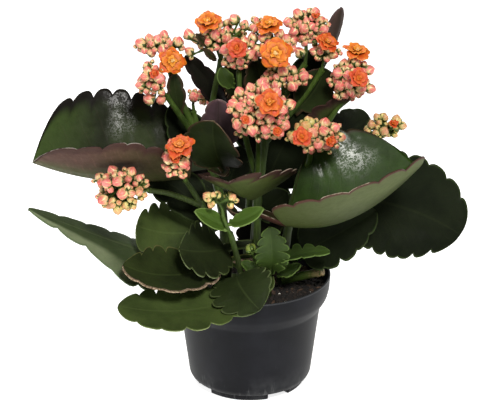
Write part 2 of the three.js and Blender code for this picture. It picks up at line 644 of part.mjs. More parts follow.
// Directions spread evenly over a cap about an axis, from its pole down to a polar angle in degrees.
function capDirections(count, reach, axis) {
  const lowest = Math.cos(radians(reach));
  const golden = Math.PI * (3 - Math.sqrt(5));
  const turn = turnTo(axis);
  return Array.from({ length: count }, (_, i) => {
    const z = 1 - ((i + 0.5) / count) * (1 - lowest);
    const flat = Math.sqrt(1 - z * z);
    const direction = new THREE.Vector3(flat * Math.cos(golden * i), flat * Math.sin(golden * i), z);
    return direction.applyQuaternion(turn);
  });
}

// How many buds cover the cap. Its area is taken from a sphere as large as the ellipsoid of the bellies.
function budCount(radii) {
  const { x, y, z } = radii.clone().addScalar(bud.bellyAt * bud.length - bud.sunk);
  const meanSquare = (x * y + y * z + z * x) / 3;
  const capArea = 2 * Math.PI * meanSquare * (1 - Math.cos(radians(bud.capReach)));
  return Math.round((bud.cover * capArea) / (Math.PI * bud.belly ** 2));
}

const taken = []; // the room that the buds already fill, as spheres

// A head is a small core with buds standing out of it all round. What is in the way of a bud keeps it out.
function headSolid(head, inTheWay, random) {
  const axis = unit(head.axis);
  const radii = coreRadii(head);
  const centre = vector(head.centre);
  const ball = new THREE.SphereGeometry(1, core.sides, core.rows).rotateX(Math.PI / 2);
  const pieces = [solidOf(ball.scale(...radii).translate(...centre))];
  capDirections(budCount(radii), bud.capReach, axis).forEach((direction) => {
    const size = bud.smallest + bud.sizeRange * random();
    const [length, radius] = [bud.length * size, bud.belly * size];
    const outward = direction.clone().divide(radii).normalize().addScaledVector(axis, bud.upturn).normalize();
    const surface = direction.clone().multiply(radii).add(centre);
    const root = surface.addScaledVector(outward, -bud.sunk - bud.sunkRange * random());
    const belly = root.clone().addScaledVector(outward, bud.bellyAt * length);
    const isCrowding = (other) => other.belly.distanceTo(belly) < bud.crowding * (other.radius + radius);
    if (taken.some(isCrowding)) return;
    const shape = lathe([[0, 0], [radius, bud.bellyAt * length], [0, length]], bud.sides);
    const solid = placed(shape, root, outward);
    if (inTheWay.some((other) => meets(other, solid))) return;
    taken.push({ belly, radius });
    pieces.push(solid);
  });
  return largestBody(joined(pieces));
}

// ---------------------------------------------------------------- open flowers

// A layer of petals as one star-shaped plate. The notches stand on a flat middle, and the petals rise
// from it.
function petalLayer({ petals, outline, height }, reach, lift) {
  const pointAt = (radius, turn) => {
    const out = new THREE.Vector3(Math.cos(turn), Math.sin(turn), 0);
    const upper = out.clone().multiplyScalar(radius * Math.cos(lift)).setZ(radius * Math.sin(lift) + height);
    const under = upper.clone().addScaledVector(out, flower.thickness * Math.sin(lift));
    under.z -= flower.thickness * Math.cos(lift);
    return { upper, under };
  };
  const points = [];
  for (let i = 0; i < petals; i++) {
    outline.forEach(([share, side]) => {
      points.push(pointAt(reach * share, ((i + side) * 2 * Math.PI) / petals));
    });
  }
  const triangles = [];
  for (let i = 0; i < petals; i++) {
    const notch = i * outline.length;
    for (let k = 1; k < outline.length; k++) {
      triangles.push([notch, notch + k, (notch + k + 1) % points.length]);
    }
    if (i > 1) triangles.push([0, notch - outline.length, notch]);
  }
  return plateSolid(points, triangles);
}

const liftOf = (bloom) => lerp(flower.closedLift, flower.openLift, bloom.open);

// A flower modelled along +Z, with its neck through the middle of every layer. A half-open one hides its
// heart.
function bloomSolid(bloom) {
  const count = bloom.open < 0.5 ? flower.layersHalfOpen : petalLayers.length;
  const layers = petalLayers.slice(0, count).map((layer) => {
    const lift = Math.min(liftOf(bloom) + layer.steeper, flower.steepest);
    return petalLayer(layer, layer.reach * bloom.radius, radians(lift));
  });
  const neck = [
    [0, -flower.neckLength],
    [flower.neckRadius, 0],
    [flower.heartRadius, flower.heartHeight * bloom.radius],
    [0, flower.heartTop * bloom.radius],
  ];
  return joined([...layers, solidOf(lathe(neck, flower.neckSides))]);
}

function bloomMesh(bloom) {
  const mesh = pieceMesh(bloom, looks.bloom, bloomSolid(bloom));
  mesh.position.set(...bloom.at);
  mesh.quaternion.copy(turnTo(vector(bloom.look)));
  return mesh;
}

// The room that an open flower fills, with the space round it.
function bloomRoom(bloom) {
  const lift = radians(liftOf(bloom));
  const steep = Math.min(lift + radians(flower.roomSteeper), Math.PI / 2);
  const spread = bloom.radius * Math.cos(lift) + flower.clear;
  const rim = bloom.radius * Math.sin(lift);
  const profile = [
    [0, -flower.neckLength - flower.clear],
    [flower.neckRadius + gap, -flower.neckLength / 2],
    [spread, rim - flower.roomUnder],
    [spread, rim + flower.clear],
    [0, bloom.radius * Math.sin(steep) + flower.clear],
  ];
  return placed(lathe(profile, flower.roomSides), vector(bloom.at), unit(bloom.look));
}

// ---------------------------------------------------------------- the plant in its pot

const stemRoom = joined(stemPlan.map((stem) => bareStem(stem, gap)));
const bracts = stemPlan.flatMap((stem) => stem.bracts.map(leafSolid));
const leafSolids = leafPlan.map((leaf) => largestBody(leafSolid(leaf).subtract(stemRoom)));
const inTheWay = [stemRoom, ...bracts, ...leafSolids, ...bloomPlan.map(bloomRoom)];

const stems = new THREE.Group();
stems.add(...stemPlan.map((stem) => pieceMesh(stem, looks.stem, stemSolid(stem))));

const leaves = new THREE.Group();
leaves.add(...leafPlan.map((leaf, i) => pieceMesh(leaf, looks.leaf, leafSolids[i])));

const heads = new THREE.Group();
headPlan.forEach((head, i) => {
  const random = seededRandom(firstSeed + seedStep * i);
  heads.add(pieceMesh(head, looks.bud, headSolid(head, inTheWay, random)));
});

const blooms = new THREE.Group();
blooms.add(...bloomPlan.map(bloomMesh));

const plant = new THREE.Group();
plant.name = "potted_kalanchoe";
plant.add(
  pieceMesh({ name: "pot" }, looks.pot, potSolid()),
  pieceMesh({ name: "soil" }, looks.soil, largestBody(soilSolid().subtract(stemRoom))),
  stems,
  leaves,
  heads,
  blooms,
);

export default plant;
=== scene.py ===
import math
import random

import bpy
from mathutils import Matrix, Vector, noise
from mathutils.bvhtree import BVHTree


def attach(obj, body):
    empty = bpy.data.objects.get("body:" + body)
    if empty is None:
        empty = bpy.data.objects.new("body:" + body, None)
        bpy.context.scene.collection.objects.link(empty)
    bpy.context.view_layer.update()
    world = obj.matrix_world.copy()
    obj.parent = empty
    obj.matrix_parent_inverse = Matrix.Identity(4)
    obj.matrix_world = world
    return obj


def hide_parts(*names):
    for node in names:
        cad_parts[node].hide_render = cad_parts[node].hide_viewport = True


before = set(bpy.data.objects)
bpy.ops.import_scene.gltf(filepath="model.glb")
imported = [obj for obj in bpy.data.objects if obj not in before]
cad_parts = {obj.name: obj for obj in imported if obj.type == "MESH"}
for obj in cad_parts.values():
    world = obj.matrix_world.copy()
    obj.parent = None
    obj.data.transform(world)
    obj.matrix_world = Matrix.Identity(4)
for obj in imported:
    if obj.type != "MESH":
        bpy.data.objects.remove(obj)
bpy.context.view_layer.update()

mm = 0.001  # the plans below are in millimetres


def lerp(a, b, t):
    return a + (b - a) * t


def clamp(value):
    return max(0.0, min(1.0, value))


def ease(value, low=0.0, high=1.0):
    t = clamp((value - low) / (high - low))
    return t * t * (3 - 2 * t)


def onRing(radius, angle, height=0.0):
    return radius * math.cos(angle), radius * math.sin(angle), height


studio = {
    "aim": (0, 0, 145),
    "distance": 1250,
    "elevation": 21,  # degrees
    "lens": 121.68,
    "world": 0.2,
    "floor": "#f6f6f4",
    "floorCloud": "#efefed",
    "floorGlow": 0.8,
    "floorReach": 4000,
    "floorDrop": 0.4,  # keeps the floor clear of the pot's feet
    "lamps": [
        # name, place in mm, size in mm, watts, colour
        ("keyLamp", (240, -1000, 1060), 300, 16, (1.0, 0.98, 0.94)),
        ("topLamp", (-420, 420, 1200), 600, 8, (1.0, 0.99, 0.97)),
        ("sideLamp", (-1050, -300, 620), 500, 3, (1.0, 1.0, 1.0)),
    ],
}


def aimAt(thing, place, target):
    thing.location = Vector(place) * mm
    thing.rotation_euler = (Vector(target) - Vector(place)).to_track_quat("-Z", "Y").to_euler()


def makeStudio():
    scene = bpy.context.scene
    tilt = math.radians(studio["elevation"])
    reach = studio["distance"]
    camera = bpy.data.objects.new("camera", bpy.data.cameras.new("camera"))
    camera.data.lens = studio["lens"]
    camera.data.sensor_width = 36
    camera.data.clip_end = 50
    scene.collection.objects.link(camera)
    eye = Vector(studio["aim"]) + Vector((0, -reach * math.cos(tilt), reach * math.sin(tilt)))
    aimAt(camera, eye, studio["aim"])
    scene.camera = camera

    for name, place, size, watts, colour in studio["lamps"]:
        lamp = bpy.data.lights.new(name, "AREA")
        lamp.shape = "DISK"
        lamp.size = size * mm
        lamp.energy = watts
        lamp.color = colour
        holder = bpy.data.objects.new(name, lamp)
        scene.collection.objects.link(holder)
        aimAt(holder, place, studio["aim"])

    world = bpy.data.worlds.new("studio")
    world.use_nodes = True
    background = world.node_tree.nodes["Background"]
    background.inputs["Color"].default_value = (1, 1, 1, 1)
    background.inputs["Strength"].default_value = studio["world"]
    scene.world = world
    scene.view_settings.view_transform = "Standard"


# One output socket. Arithmetic on it adds Math nodes.
class Sock:
    def __init__(self, graph, socket):
        self.graph = graph
        self.socket = socket

    def of(self, key):
        return Sock(self.graph, self.socket.node.outputs[key])

    def math(self, operation, *others):
        return self.graph.maths(operation, self, *others)

    def __add__(self, other):
        return self.math("ADD", other)

    __radd__ = __add__

    def __mul__(self, other):
        return self.math("MULTIPLY", other)

    __rmul__ = __mul__

    def __sub__(self, other):
        return self.math("SUBTRACT", other)

    def __rsub__(self, other):
        return self.graph.maths("SUBTRACT", other, self)

    def __neg__(self):
        return self.math("MULTIPLY", -1.0)

    def __abs__(self):
        return self.math("ABSOLUTE")


class Graph:
    def __init__(self, tree):
        self.tree = tree

    # Adds a node: its settings come first, then its sockets by name or number.
    def add(self, kind, settings=None, sockets=None, out=0):
        node = self.tree.nodes.new(kind)
        for key, value in (settings or {}).items():
            setattr(node, key, value)
        for key, value in (sockets or {}).items():
            if isinstance(value, Sock):
                self.tree.links.new(value.socket, node.inputs[key])
            else:
                node.inputs[key].default_value = value
        return Sock(self, node.outputs[out]) if len(node.outputs) else node

    def maths(self, operation, *values):
        return self.add("ShaderNodeMath", {"operation": operation}, dict(enumerate(values)))

    # Mixes colours, given as links or as hex codes.
    def mix(self, factor, a, b):
        a, b = (paint(value) if isinstance(value, str) else value for value in (a, b))
        return self.add("ShaderNodeMix", {"data_type": "RGBA"}, {0: factor, 6: a, 7: b}, out=2)

    # 0 below low, 1 above high, smooth between
    def step(self, value, low, high):
        settings = {"interpolation_type": "SMOOTHSTEP"}
        return self.add("ShaderNodeMapRange", settings, {0: value, 1: low, 2: high})

    def noise(self, vector, scale, detail=3.0, roughness=0.5):
        sockets = {"Vector": vector, "Scale": scale, "Detail": detail, "Roughness": roughness}
        return self.add("ShaderNodeTexNoise", {}, sockets)

    def attribute(self, name, out="Vector"):
        return self.add("ShaderNodeAttribute", {"attribute_name": name}, out=out)

    # The same in a geometry tree
    def named(self, name, kind="FLOAT"):
        return self.add("GeometryNodeInputNamedAttribute", {"data_type": kind}, {"Name": name})

    def split(self, vector):
        parts = self.add("ShaderNodeSeparateXYZ", {}, {0: vector})
        return parts, parts.of(1), parts.of(2)

    def join(self, x, y, z):
        return self.add("ShaderNodeCombineXYZ", {}, {0: x, 1: y, 2: z})


def paint(hexCode):
    channels = [int(hexCode[i:i + 2], 16) / 255 for i in (1, 3, 5)]
    linear = [c / 12.92 if c <= 0.04045 else ((c + 0.055) / 1.055) ** 2.4 for c in channels]
    return (*linear, 1.0)


# Starts a material and hands back it, its graph and the object coordinates.
def newFinish(name):
    finish = bpy.data.materials.new(name)
    finish.use_nodes = True
    finish.node_tree.nodes.clear()
    graph = Graph(finish.node_tree)
    here = graph.add("ShaderNodeTexCoord", {}, out="Object")
    return finish, graph, here


# bump is height, strength and distance. flesh is the weight, radius and scale of the light inside.
def closeFinish(graph, sockets, bump=None, flesh=None):
    if flesh:
        keys = ("Subsurface Weight", "Subsurface Radius", "Subsurface Scale")
        sockets = {**sockets, **dict(zip(keys, flesh))}
    if bump:
        height, strength, distance = bump
        values = {"Height": height, "Strength": strength, "Distance": distance}
        sockets = {**sockets, "Normal": graph.add("ShaderNodeBump", {}, values)}
    shader = graph.add("ShaderNodeBsdfPrincipled", {}, sockets)
    graph.add("ShaderNodeOutputMaterial", {}, {"Surface": shader})


def meshOf(name, points, faces, maps=None):
    mesh = bpy.data.meshes.new(name)
    mesh.from_pydata([Vector(point) * mm for point in points], [], faces)
    for key, values in (maps or {}).items():
        vectors = len(values) and not isinstance(values[0], (int, float))
        layer = mesh.attributes.new(key, "FLOAT_VECTOR" if vectors else "FLOAT", "POINT")
        flat = [part for value in values for part in value] if vectors else values
        layer.data.foreach_set("vector" if vectors else "value", flat)
    mesh.polygons.foreach_set("use_smooth", [True] * len(mesh.polygons))
    mesh.update()
    return mesh


def pieceOf(name, mesh, finish=None):
    piece = bpy.data.objects.new(name, mesh)
    bpy.context.scene.collection.objects.link(piece)
    if finish:
        mesh.materials.clear()
        mesh.materials.append(finish)
    return piece


# A shape that cuts or is repeated, and isn't a piece itself
def helper(name, mesh):
    thing = pieceOf(name, mesh)
    thing.hide_render = True
    return thing


def deliver(piece, slot, *nodes):
    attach(piece, "root")
    if nodes:
        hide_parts(*nodes)


# Runs a geometry tree on a mesh and keeps the result as a plain mesh.
def grow(name, mesh, tree, inputs):
    carrier = pieceOf(name + "_carrier", mesh)
    modifier = carrier.modifiers.new("grow", "NODES")
    modifier.node_group = tree
    for item in tree.interface.items_tree:
        if item.item_type == "SOCKET" and item.in_out == "INPUT" and item.name in inputs:
            modifier[item.identifier] = inputs[item.name]
    depsgraph = bpy.context.evaluated_depsgraph_get()
    grown = bpy.data.meshes.new_from_object(
        carrier.evaluated_get(depsgraph), preserve_all_data_layers=True, depsgraph=depsgraph)
    carrier.modifiers.remove(modifier)
    bpy.data.objects.remove(carrier)
    grown.name = name
    return pieceOf(name, grown)


# A geometry tree with its named inputs
def newTree(name, inputs):
    tree = bpy.data.node_groups.new(name, "GeometryNodeTree")
    tree.interface.new_socket("Geometry", in_out="INPUT", socket_type="NodeSocketGeometry")
    tree.interface.new_socket("Geometry", in_out="OUTPUT", socket_type="NodeSocketGeometry")
    for label, kind, value in inputs:
        socket = tree.interface.new_socket(label, in_out="INPUT", socket_type="NodeSocket" + kind)
        if value is not None:
            socket.default_value = value
    graph = Graph(tree)
    return tree, graph, graph.add("NodeGroupInput")


def closeTree(graph, geometry, finish):
    solid = graph.add("GeometryNodeRealizeInstances", {}, {"Geometry": geometry})
    smooth = graph.add("GeometryNodeSetShadeSmooth", {}, {"Geometry": solid})
    painted = graph.add("GeometryNodeSetMaterial", {}, {"Geometry": smooth, "Material": finish})
    graph.add("NodeGroupOutput", {}, {"Geometry": painted})


# A blade: its look, three places on its midrib, the way its upper face looks, its width, the degrees that its
# halves are folded up at the root and at the tip, the degrees that each half curls, and its scallops a side
def bladeOf(look, root, middle, tip, face, width, fold, curl, scallops, **more):
    return {"look": look, "root": root, "middle": middle, "tip": tip, "face": face, "width": width,
            "fold": fold, "curl": curl, "scallops": scallops, **more}


# start is where a leaf stalk leaves its stem. taper, widest, notch and belly change the outline.
leafPlan = {
    "left_upper": bladeOf("folded", (-28, 4, 165), (-95, -10, 165), (-156, -22, 184), (0, -0.2, 1), 135,
        (50, 42), 8, 5, taper=0.21, notch=1.7, belly=(0.2, 0.55)),
    "right_glossy": bladeOf("glossy", (16, -28, 142), (66, -44, 147), (121, -22, 180), (-0.3, -0.22, 1),
        142, (50, 40), 8, 5, start=(5, -19, 143), taper=0.26, notch=2.4),
    "right_far": bladeOf("shaded", (44, 10, 143), (106, 20, 134), (158, 8, 114), (0.2, -0.9, 0.4), 82,
        (12, 4), 8, 6, start=(32, -5, 144), taper=0.42),
    "right_low": bladeOf("shaded", (32, -8, 105), (61, -13, 121), (93, -6, 139), (0.1, -0.8, 0.5), 44,
        (10, 6), 8, 4, start=(27, -3, 106), widest=0.36),
    "middle_bowl": bladeOf("bowl", (5, -16, 158), (-1, -48, 166), (-15, -76, 188), (0, 0.5, 0.9), 80,
        (24, 16), 14, 5, notch=1.7),
    "inner_left": bladeOf("deep", (-18, -16, 174), (-25, -32, 196), (-26, -42, 220), (-0.3, -0.8, 0.5), 48,
        (12, 8), 10, 3, start=(-30, 3, 171)),
    "inner_back": bladeOf("purple", (-23, 3, 176), (-23, -2, 198), (-22, -6, 225), (0.2, 0.9, 0.2), 30,
        (14, 8), 10, 3, start=(-34, 2, 184)),
    "top_left": bladeOf("dusky", (-14, 12, 201), (-28, 13, 229), (-47, 11, 252), (-0.6, -0.5, 0.5), 20,
        (16, 8), 8, 3, start=(12, 8, 195)),
    "top_right": bladeOf("brown", (40, 12, 221), (58, 31, 251), (65, 30, 283), (-0.6, 0.5, 0.3), 24,
        (18, 8), 8, 2, taper=0.38),
    "upper_right": bladeOf("bowl", (46, -1, 193), (54, 0, 207), (72, -4, 226), (-0.5, 0.2, 0.9), 38,
        (44, 30), 10, 3),
    "right_back": bladeOf("shaded", (48, 22, 172), (70, 34, 183), (89, 34, 198), (-0.5, -0.3, 0.8), 48,
        (16, 10), 8, 4, start=(37, -7, 164)),
    "left_low": bladeOf("grey", (-40, -6, 97), (-90, -24, 119), (-159.5, -34, 152), (0.15, -0.15, 1), 56,
        (-16, -6), -4, 5, start=(-24, -17, 97), widest=0.2, taper=0.6, belly=(0.6, 0.4), notch=1.5),
    "left_corky": bladeOf("corky", (-14, -28, 108), (-56, -58, 110), (-90, -64, 121), (0.25, -0.25, 1), 54,
        (6, 6), 14, 4, start=(4, -15, 106)),
    "left_middle": bladeOf("fresh", (-28, -8, 126), (-57, -16, 125), (-82, -28, 136), (0, -0.75, 0.65), 54,
        (-8, -8), -6, 4, start=(-21, 5, 126), notch=1.5),
    "front_inner": bladeOf("paleEdged", (-14, -22, 117), (-32, -46, 123), (-50, -60, 131),
        (0.1, -0.75, 0.65), 46, (10, 6), 8, 4, start=(5, -17, 117), notch=1.6),
    "front_wide": bladeOf("fresh", (12, -42, 92), (-42, -76, 91), (-93, -84, 98), (0.05, -0.3, 1), 52,
        (10, 2), 4, 5, start=(14, -28, 95), notch=1.3),
    "front_rim": bladeOf("rim", (-10, -36, 102), (-6, -62, 101), (7, -79, 92), (-0.25, -0.5, 0.8), 48,
        (8, 4), 6, 4, notch=1.5),
    "back_left": bladeOf("deep", (-12, 28, 125), (-44, 58, 142), (-72, 86, 136), (0, 0.1, 1), 62, (14, 6),
        6, 3, start=(0, 31, 124)),
    "back_middle": bladeOf("deep", (0, 32, 113), (4, 70, 128), (8, 104, 111), (0, 0.1, 1), 60, (14, 6), 6,
        3),
    "back_right": bladeOf("deep", (20, 26, 105), (52, 60, 115), (84, 84, 101), (0, 0.1, 1), 62, (14, 6), 6,
        3, start=(-1, 28, 106)),
    "back_upper": bladeOf("shaded", (6, 22, 130), (19, 31, 163), (35, 35, 194), (0, -0.9, 0.4), 52, (14, 8),
        8, 3, start=(5, 9, 130)),
}


# A head of buds: the fork of its stalk, its centre, radii and axis
def headOf(fork, centre, radii, axis, **more):
    return {"fork": fork, "centre": centre, "radii": radii, "axis": axis, **more}


# sides are further bunches of a head, as (centre, radii). pale is how green its buds are.
headPlan = {
    "top_right": headOf((40, 12, 246), (41, 13, 273), (20, 15, 21), (0.1, -0.2, 1),
        sides=[((38, 8, 255), (10, 8, 9)), ((50, 9, 262), (9, 8, 9))]),
    "top_middle": headOf((18, 0, 247), (19, -6, 264), (20, 15, 15), (0, -0.2, 1),
        sides=[((4, -5, 260), (9, 8, 12)), ((2, -2, 277), (9, 8, 8)),
               ((2, -2, 268), (9, 8, 9)), ((4, -2, 281), (8, 8, 8))]),
    "middle_right": headOf((24, -2, 229), (25, -14, 243), (23, 13, 14), (0.2, -0.7, 0.5)),
    "upper_right": headOf((52, 4, 244), (54, 0, 258), (12, 11, 12), (0.1, -0.3, 1),
        sides=[((62, 0, 256), (7, 8, 9))]),
    "right": headOf((66, -4, 222), (72, -8, 240), (21, 18, 20), (0.3, -0.3, 0.9)),
    "far_right": headOf((92, 16, 185), (100, 16, 196), (20, 12, 15), (0.4, -0.1, 0.9), pale=0.75),
    "front": headOf((6, -32, 204), (7, -42, 227), (27, 21, 26), (0, -0.6, 0.8)),
    "front_right": headOf((43, -36, 196), (45, -46, 211), (24, 15, 17), (0.1, -0.6, 0.8),
        paleSide=(-1, 0, 0.4)),
    "top_left": headOf((-21, 6, 251), (-22, 6, 267), (22.5, 14, 17), (0, -0.1, 1),
        sides=[((-5, 4, 276), (10, 9, 8)), ((-41, 5, 256), (8, 8, 9)),
               ((-9, 2, 281), (9, 8, 8)), ((-44, 4, 268), (7, 8, 9))]),
    "upper_middle": headOf((-8, -6, 246), (-9, -12, 260), (17, 12, 15), (0, -0.5, 0.9)),
    "left_top": headOf((-60, 0, 252), (-63, -3, 265), (22, 15, 12), (-0.1, -0.2, 1),
        sides=[((-73, -5, 260), (9, 9, 8)), ((-52, 2, 263), (9, 9, 9))]),
    "left_upper": headOf((-60, -12, 230), (-69, -18, 243), (15, 14, 17), (-0.4, -0.4, 0.7),
        sides=[((-67, -16, 228), (11, 8, 7))]),
    "left_inner": headOf((-41, 6, 212), (-41, 4, 225), (9, 9, 12), (0.1, -0.3, 1)),
    "front_left": headOf((-46, -42, 176), (-51, -53, 195), (16, 14, 20), (-0.1, -0.5, 0.9)),
    "left_low": headOf((-72, -46, 170), (-91, -52, 173), (24, 19, 21), (-0.8, -0.4, 0.4),
        paleSide=(0.5, 0, -1), gap=8.6),
    "front_low": headOf((-19, -58, 155), (-20, -62, 170), (15, 10, 10), (0, -0.3, 1), pale=0.8),
    "back_left": headOf((-22, 46, 195), (-26, 52, 209), (20, 16, 14), (-0.2, 0.4, 0.9)),
    "back_right": headOf((36, 46, 199), (40, 54, 213), (20, 16, 14), (0.2, 0.4, 0.9)),
}

# Open flowers: place, the way they look, radius, how far open and how red
bloomPlan = {
    "top_left": ((-29, 0, 278.5), (-0.2, -0.5, 0.8), 11, 0.6, 0.0),
    "left_top": ((-56, -16, 256), (0.3, -0.8, 0.4), 11, 1, 0.0),
    "upper_middle": ((-9, -23, 267), (0, -0.8, 0.5), 9, 0.4, 1),
    "top_middle": ((14, -6, 278), (-0.1, -0.4, 0.9), 11, 0.8, 0.0),
    "middle": ((18, -24, 264), (0, -0.9, 0.4), 12.5, 1, 0.0),
    "upper_right": ((54, -5, 265), (0.3, -0.5, 0.8), 10, 0.6, 0.7),
    "right_top": ((76, -4, 258), (0.1, -0.3, 0.9), 11, 0.8, 0.0),
    "right": ((76, -26, 246), (0.1, -0.8, 0.5), 9, 0.4, 0.9),
    "front": ((13, -65, 240), (0.1, -0.8, 0.6), 11, 0.7, 0.6),
    "front_right": ((36, -60, 214), (0, -0.8, 0.5), 9, 0.3, 0.9),
    "front_left": ((-48, -63, 208), (-0.2, -0.6, 0.8), 11, 0.9, 0.7),
}

# Stems by node: girth, way of the trunk, heads with the bend on the way there, and leaves fused to the stem
stemPlan = {
    "stem_middle": {
        "radius": 4.2, "trunk": [(3, 8, 57), (3, 8, 87), (6, 10, 145), (12, 8, 195)],
        "stalks": {"top_right": (28, 12, 227), "top_middle": (14, 6, 227), "upper_right": (38, 8, 221),
                   "middle_right": (20, 2, 214)},
        "bracts": [
            bladeOf("dusky", (9, 9, 172), (0, 22, 204), (-8, 22, 243), (0, -1, 0.2), 36, (12, 6), 8, 3),
            bladeOf("deep", (32, 8, 210), (47, 6, 228), (53, 5, 245), (0, -0.95, 0.2), 32, (14, 8), 8, 2)]},
    "stem_left": {
        "radius": 4.2, "trunk": [(-18, 6, 57), (-18, 6, 87), (-22, 4, 145), (-36, 2, 192)],
        "stalks": {"left_top": (-52, 2, 227), "left_upper": (-50, -6, 212), "left_inner": (-39, 5, 202),
                   "top_left": (-26, 6, 226)},
        "bracts": [
            bladeOf("deep", (-50, -6, 213), (-53, -9, 229), (-54, -10, 246), (0.2, -0.9, 0.2), 14, (14, 8),
                    8, 2),
            bladeOf("shaded", (-31, 3, 176), (-44, 8, 193), (-57, 8, 217), (-0.2, -0.8, 0.5), 30, (12, 6),
                    8, 3)]},
    "stem_front": {
        "radius": 3.8, "trunk": [(4, -14, 57), (4, -14, 87), (5, -18, 135), (5, -22, 175)],
        "stalks": {"front": (6, -28, 190), "upper_middle": (-6, -12, 212)}},
    "stem_right": {
        "radius": 4, "trunk": [(24, -2, 57), (24, -2, 87), (30, -4, 135), (38, -8, 171)],
        "stalks": {"right": (54, -4, 202), "far_right": (72, 12, 178), "front_right": (42, -26, 184)},
        "stub": [(25, -4, 82), (54, -17, 95), 3.4]},
    "stem_front_left": {
        "radius": 3.8, "trunk": [(-22, -16, 57), (-22, -16, 87), (-28, -20, 125), (-36, -26, 155)],
        "stalkHue": 0.25,
        "stalks": {"front_left": (-42, -33, 166), "left_low": (-56, -38, 164)},
        "bracts": [
            bladeOf("shaded", (-28, -19, 126), (-52, -8, 156), (-84, -4, 165), (0, -0.75, 0.65), 34,
                    (10, 6), 8, 3)]},
    "stem_front_low": {
        "radius": 2.8, "trunk": [(-6, -28, 57), (-6, -28, 87), (-8, -40, 110), (-14, -52, 140)],
        "stalks": {"front_low": (-17, -56, 148)},
        "bracts": [
            bladeOf("bract", (-16, -54, 144), (-26, -59, 152), (-38, -66, 162), (0.3, -0.7, 0.7), 14,
                    (20, 10), 8, 1),
            bladeOf("bract", (-15, -54, 149), (-4, -59, 153), (9, -63, 163), (-0.3, -0.5, 0.8), 15,
                    (20, 10), 8, 1)]},
    "stem_back": {
        "radius": 4, "trunk": [(-2, 26, 57), (-2, 26, 87), (0, 32, 135), (0, 36, 171)],
        "stalks": {"back_left": (-12, 42, 182), "back_right": (20, 42, 186)},
        "bracts": [
            bladeOf("dusky", (-1, 26, 90), (9, 17, 104), (20, 15, 124), (0, -1, 0.2), 44, (10, 6), 8, 2)]},
    "shoot_front": {
        "names": ("shoot_stalk", "shoot_leaf"), "sides": 10,
        "radius": 2.4, "trunk": [(14, -26, 57), (14, -26, 87), (15, -31, 108)],
        "bracts": [
            bladeOf("young", (15, -29, 100), (16, -42, 119), (14, -46, 142), (0, -0.8, 0.6), 26, (16, 8), 8,
                    5, notch=3),
            bladeOf("young", (15, -29, 104), (31, -36, 116), (58, -39, 120), (-0.1, -0.3, 1), 18, (16, 8),
                    8, 4, notch=3)]},
}

# Small leaves beside the upper heads and the low shoot, and the dark ones in the middle of the plant
smallLeaves = [
    bladeOf("young", (-11, -9, 236), (-17, -13, 242), (-20, -13, 251), (0, -0.9, 0.4), 12, (20, 14), 8, 1),
    bladeOf("deep", (-29, 3, 261), (-34, -2, 267), (-38, -4, 273), (0, -0.9, 0.4), 4.5, (20, 14), 8, 1),
    bladeOf("deep", (-24, 2, 252), (-28, -4, 257), (-33, -6, 263), (0, -0.9, 0.4), 5, (20, 14), 8, 1),
    bladeOf("young", (20, -25, 96), (28, -27, 99), (37, -27, 105), (-0.2, -0.6, 0.8), 10, (16, 10), 8, 3),
    bladeOf("young", (4, -28, 96), (2, -36, 104), (-6, -42, 113), (0, -0.7, 0.7), 11, (16, 10), 8, 3),
    bladeOf("shaded", (4, 12, 126), (15, 8, 137), (28, 6, 149), (0, -0.9, 0.4), 26, (16, 10), 8, 3),
    bladeOf("shaded", (20, 14, 92), (34, 14, 106), (42, 12, 128), (0, -0.9, 0.4), 30, (16, 10), 8, 3),
    bladeOf("shaded", (-16, 8, 150), (-12, 8, 166), (-6, 8, 184), (0, -0.9, 0.3), 26, (16, 10), 8, 3),
    bladeOf("shaded", (22, 12, 196), (34, 10, 207), (50, 10, 216), (0, -0.9, 0.3), 26, (16, 10), 8, 3),
    bladeOf("deep", (-14, 12, 218), (-8, 12, 236), (-3, 12, 256), (0, -0.9, 0.2), 26, (16, 10), 8, 3),
    bladeOf("deep", (8, 10, 212), (8, 8, 232), (4, 6, 252), (0, -0.9, 0.2), 26, (16, 10), 8, 3),
    bladeOf("shaded", (30, 16, 216), (40, 18, 234), (50, 18, 256), (0, -0.9, 0.2), 26, (16, 10), 8, 3),
]

# Green buds of the shoots between the lower leaves: foot, centre, radii
tufts = [
    ((4, -29, 106), (1, -35, 121), (6, 5, 8)),
    ((-8, -32, 104), (-20, -41, 114), (5, 4, 4)),
]


pot = {
    "outside": [(42, 4.7), (44.8, 5.8), (46.3, 8.8), (53, 62), (55.3, 65.5), (58.3, 70.5),
                (59.8, 76.5), (60.5, 87)],
    "inside": [(59.1, 87), (58.4, 77), (51.4, 64), (44.9, 9.4), (43, 6.4)],
    "sides": 128,
    "rounding": 0.3,  # of each corner's shorter side
    "drains": 6,
    "drainRadius": 3,
    "drainRing": 24,
    "drainHeights": (3, 8),
    "feet": 4,
    # radius and height round a foot's cross section
    "foot": [(33, 0.35), (33.35, 0), (40.4, 0), (41.2, 0.8), (41.7, 5.2), (33, 5.2)],
    "footGap": 26,  # degrees between two feet
    "firstGap": -58,
    "sharpFrom": 38,  # degrees
    "scuff": "#8d8f8f",
}


# Rounds the corners of a profile that is a list of (radius, height).
def roundedProfile(corners, share, steps=3):
    profile = [corners[0]]
    for before, corner, after in zip(corners, corners[1:], corners[2:]):
        b, c, a = Vector(before), Vector(corner), Vector(after)
        reach = min((b - c).length, (a - c).length) * share
        start, end = c + (b - c).normalized() * reach, c + (a - c).normalized() * reach
        for i in range(steps + 1):
            t = i / steps
            profile.append(tuple(start.lerp(c, t).lerp(c.lerp(end, t), t)))
    return profile + [corners[-1]]


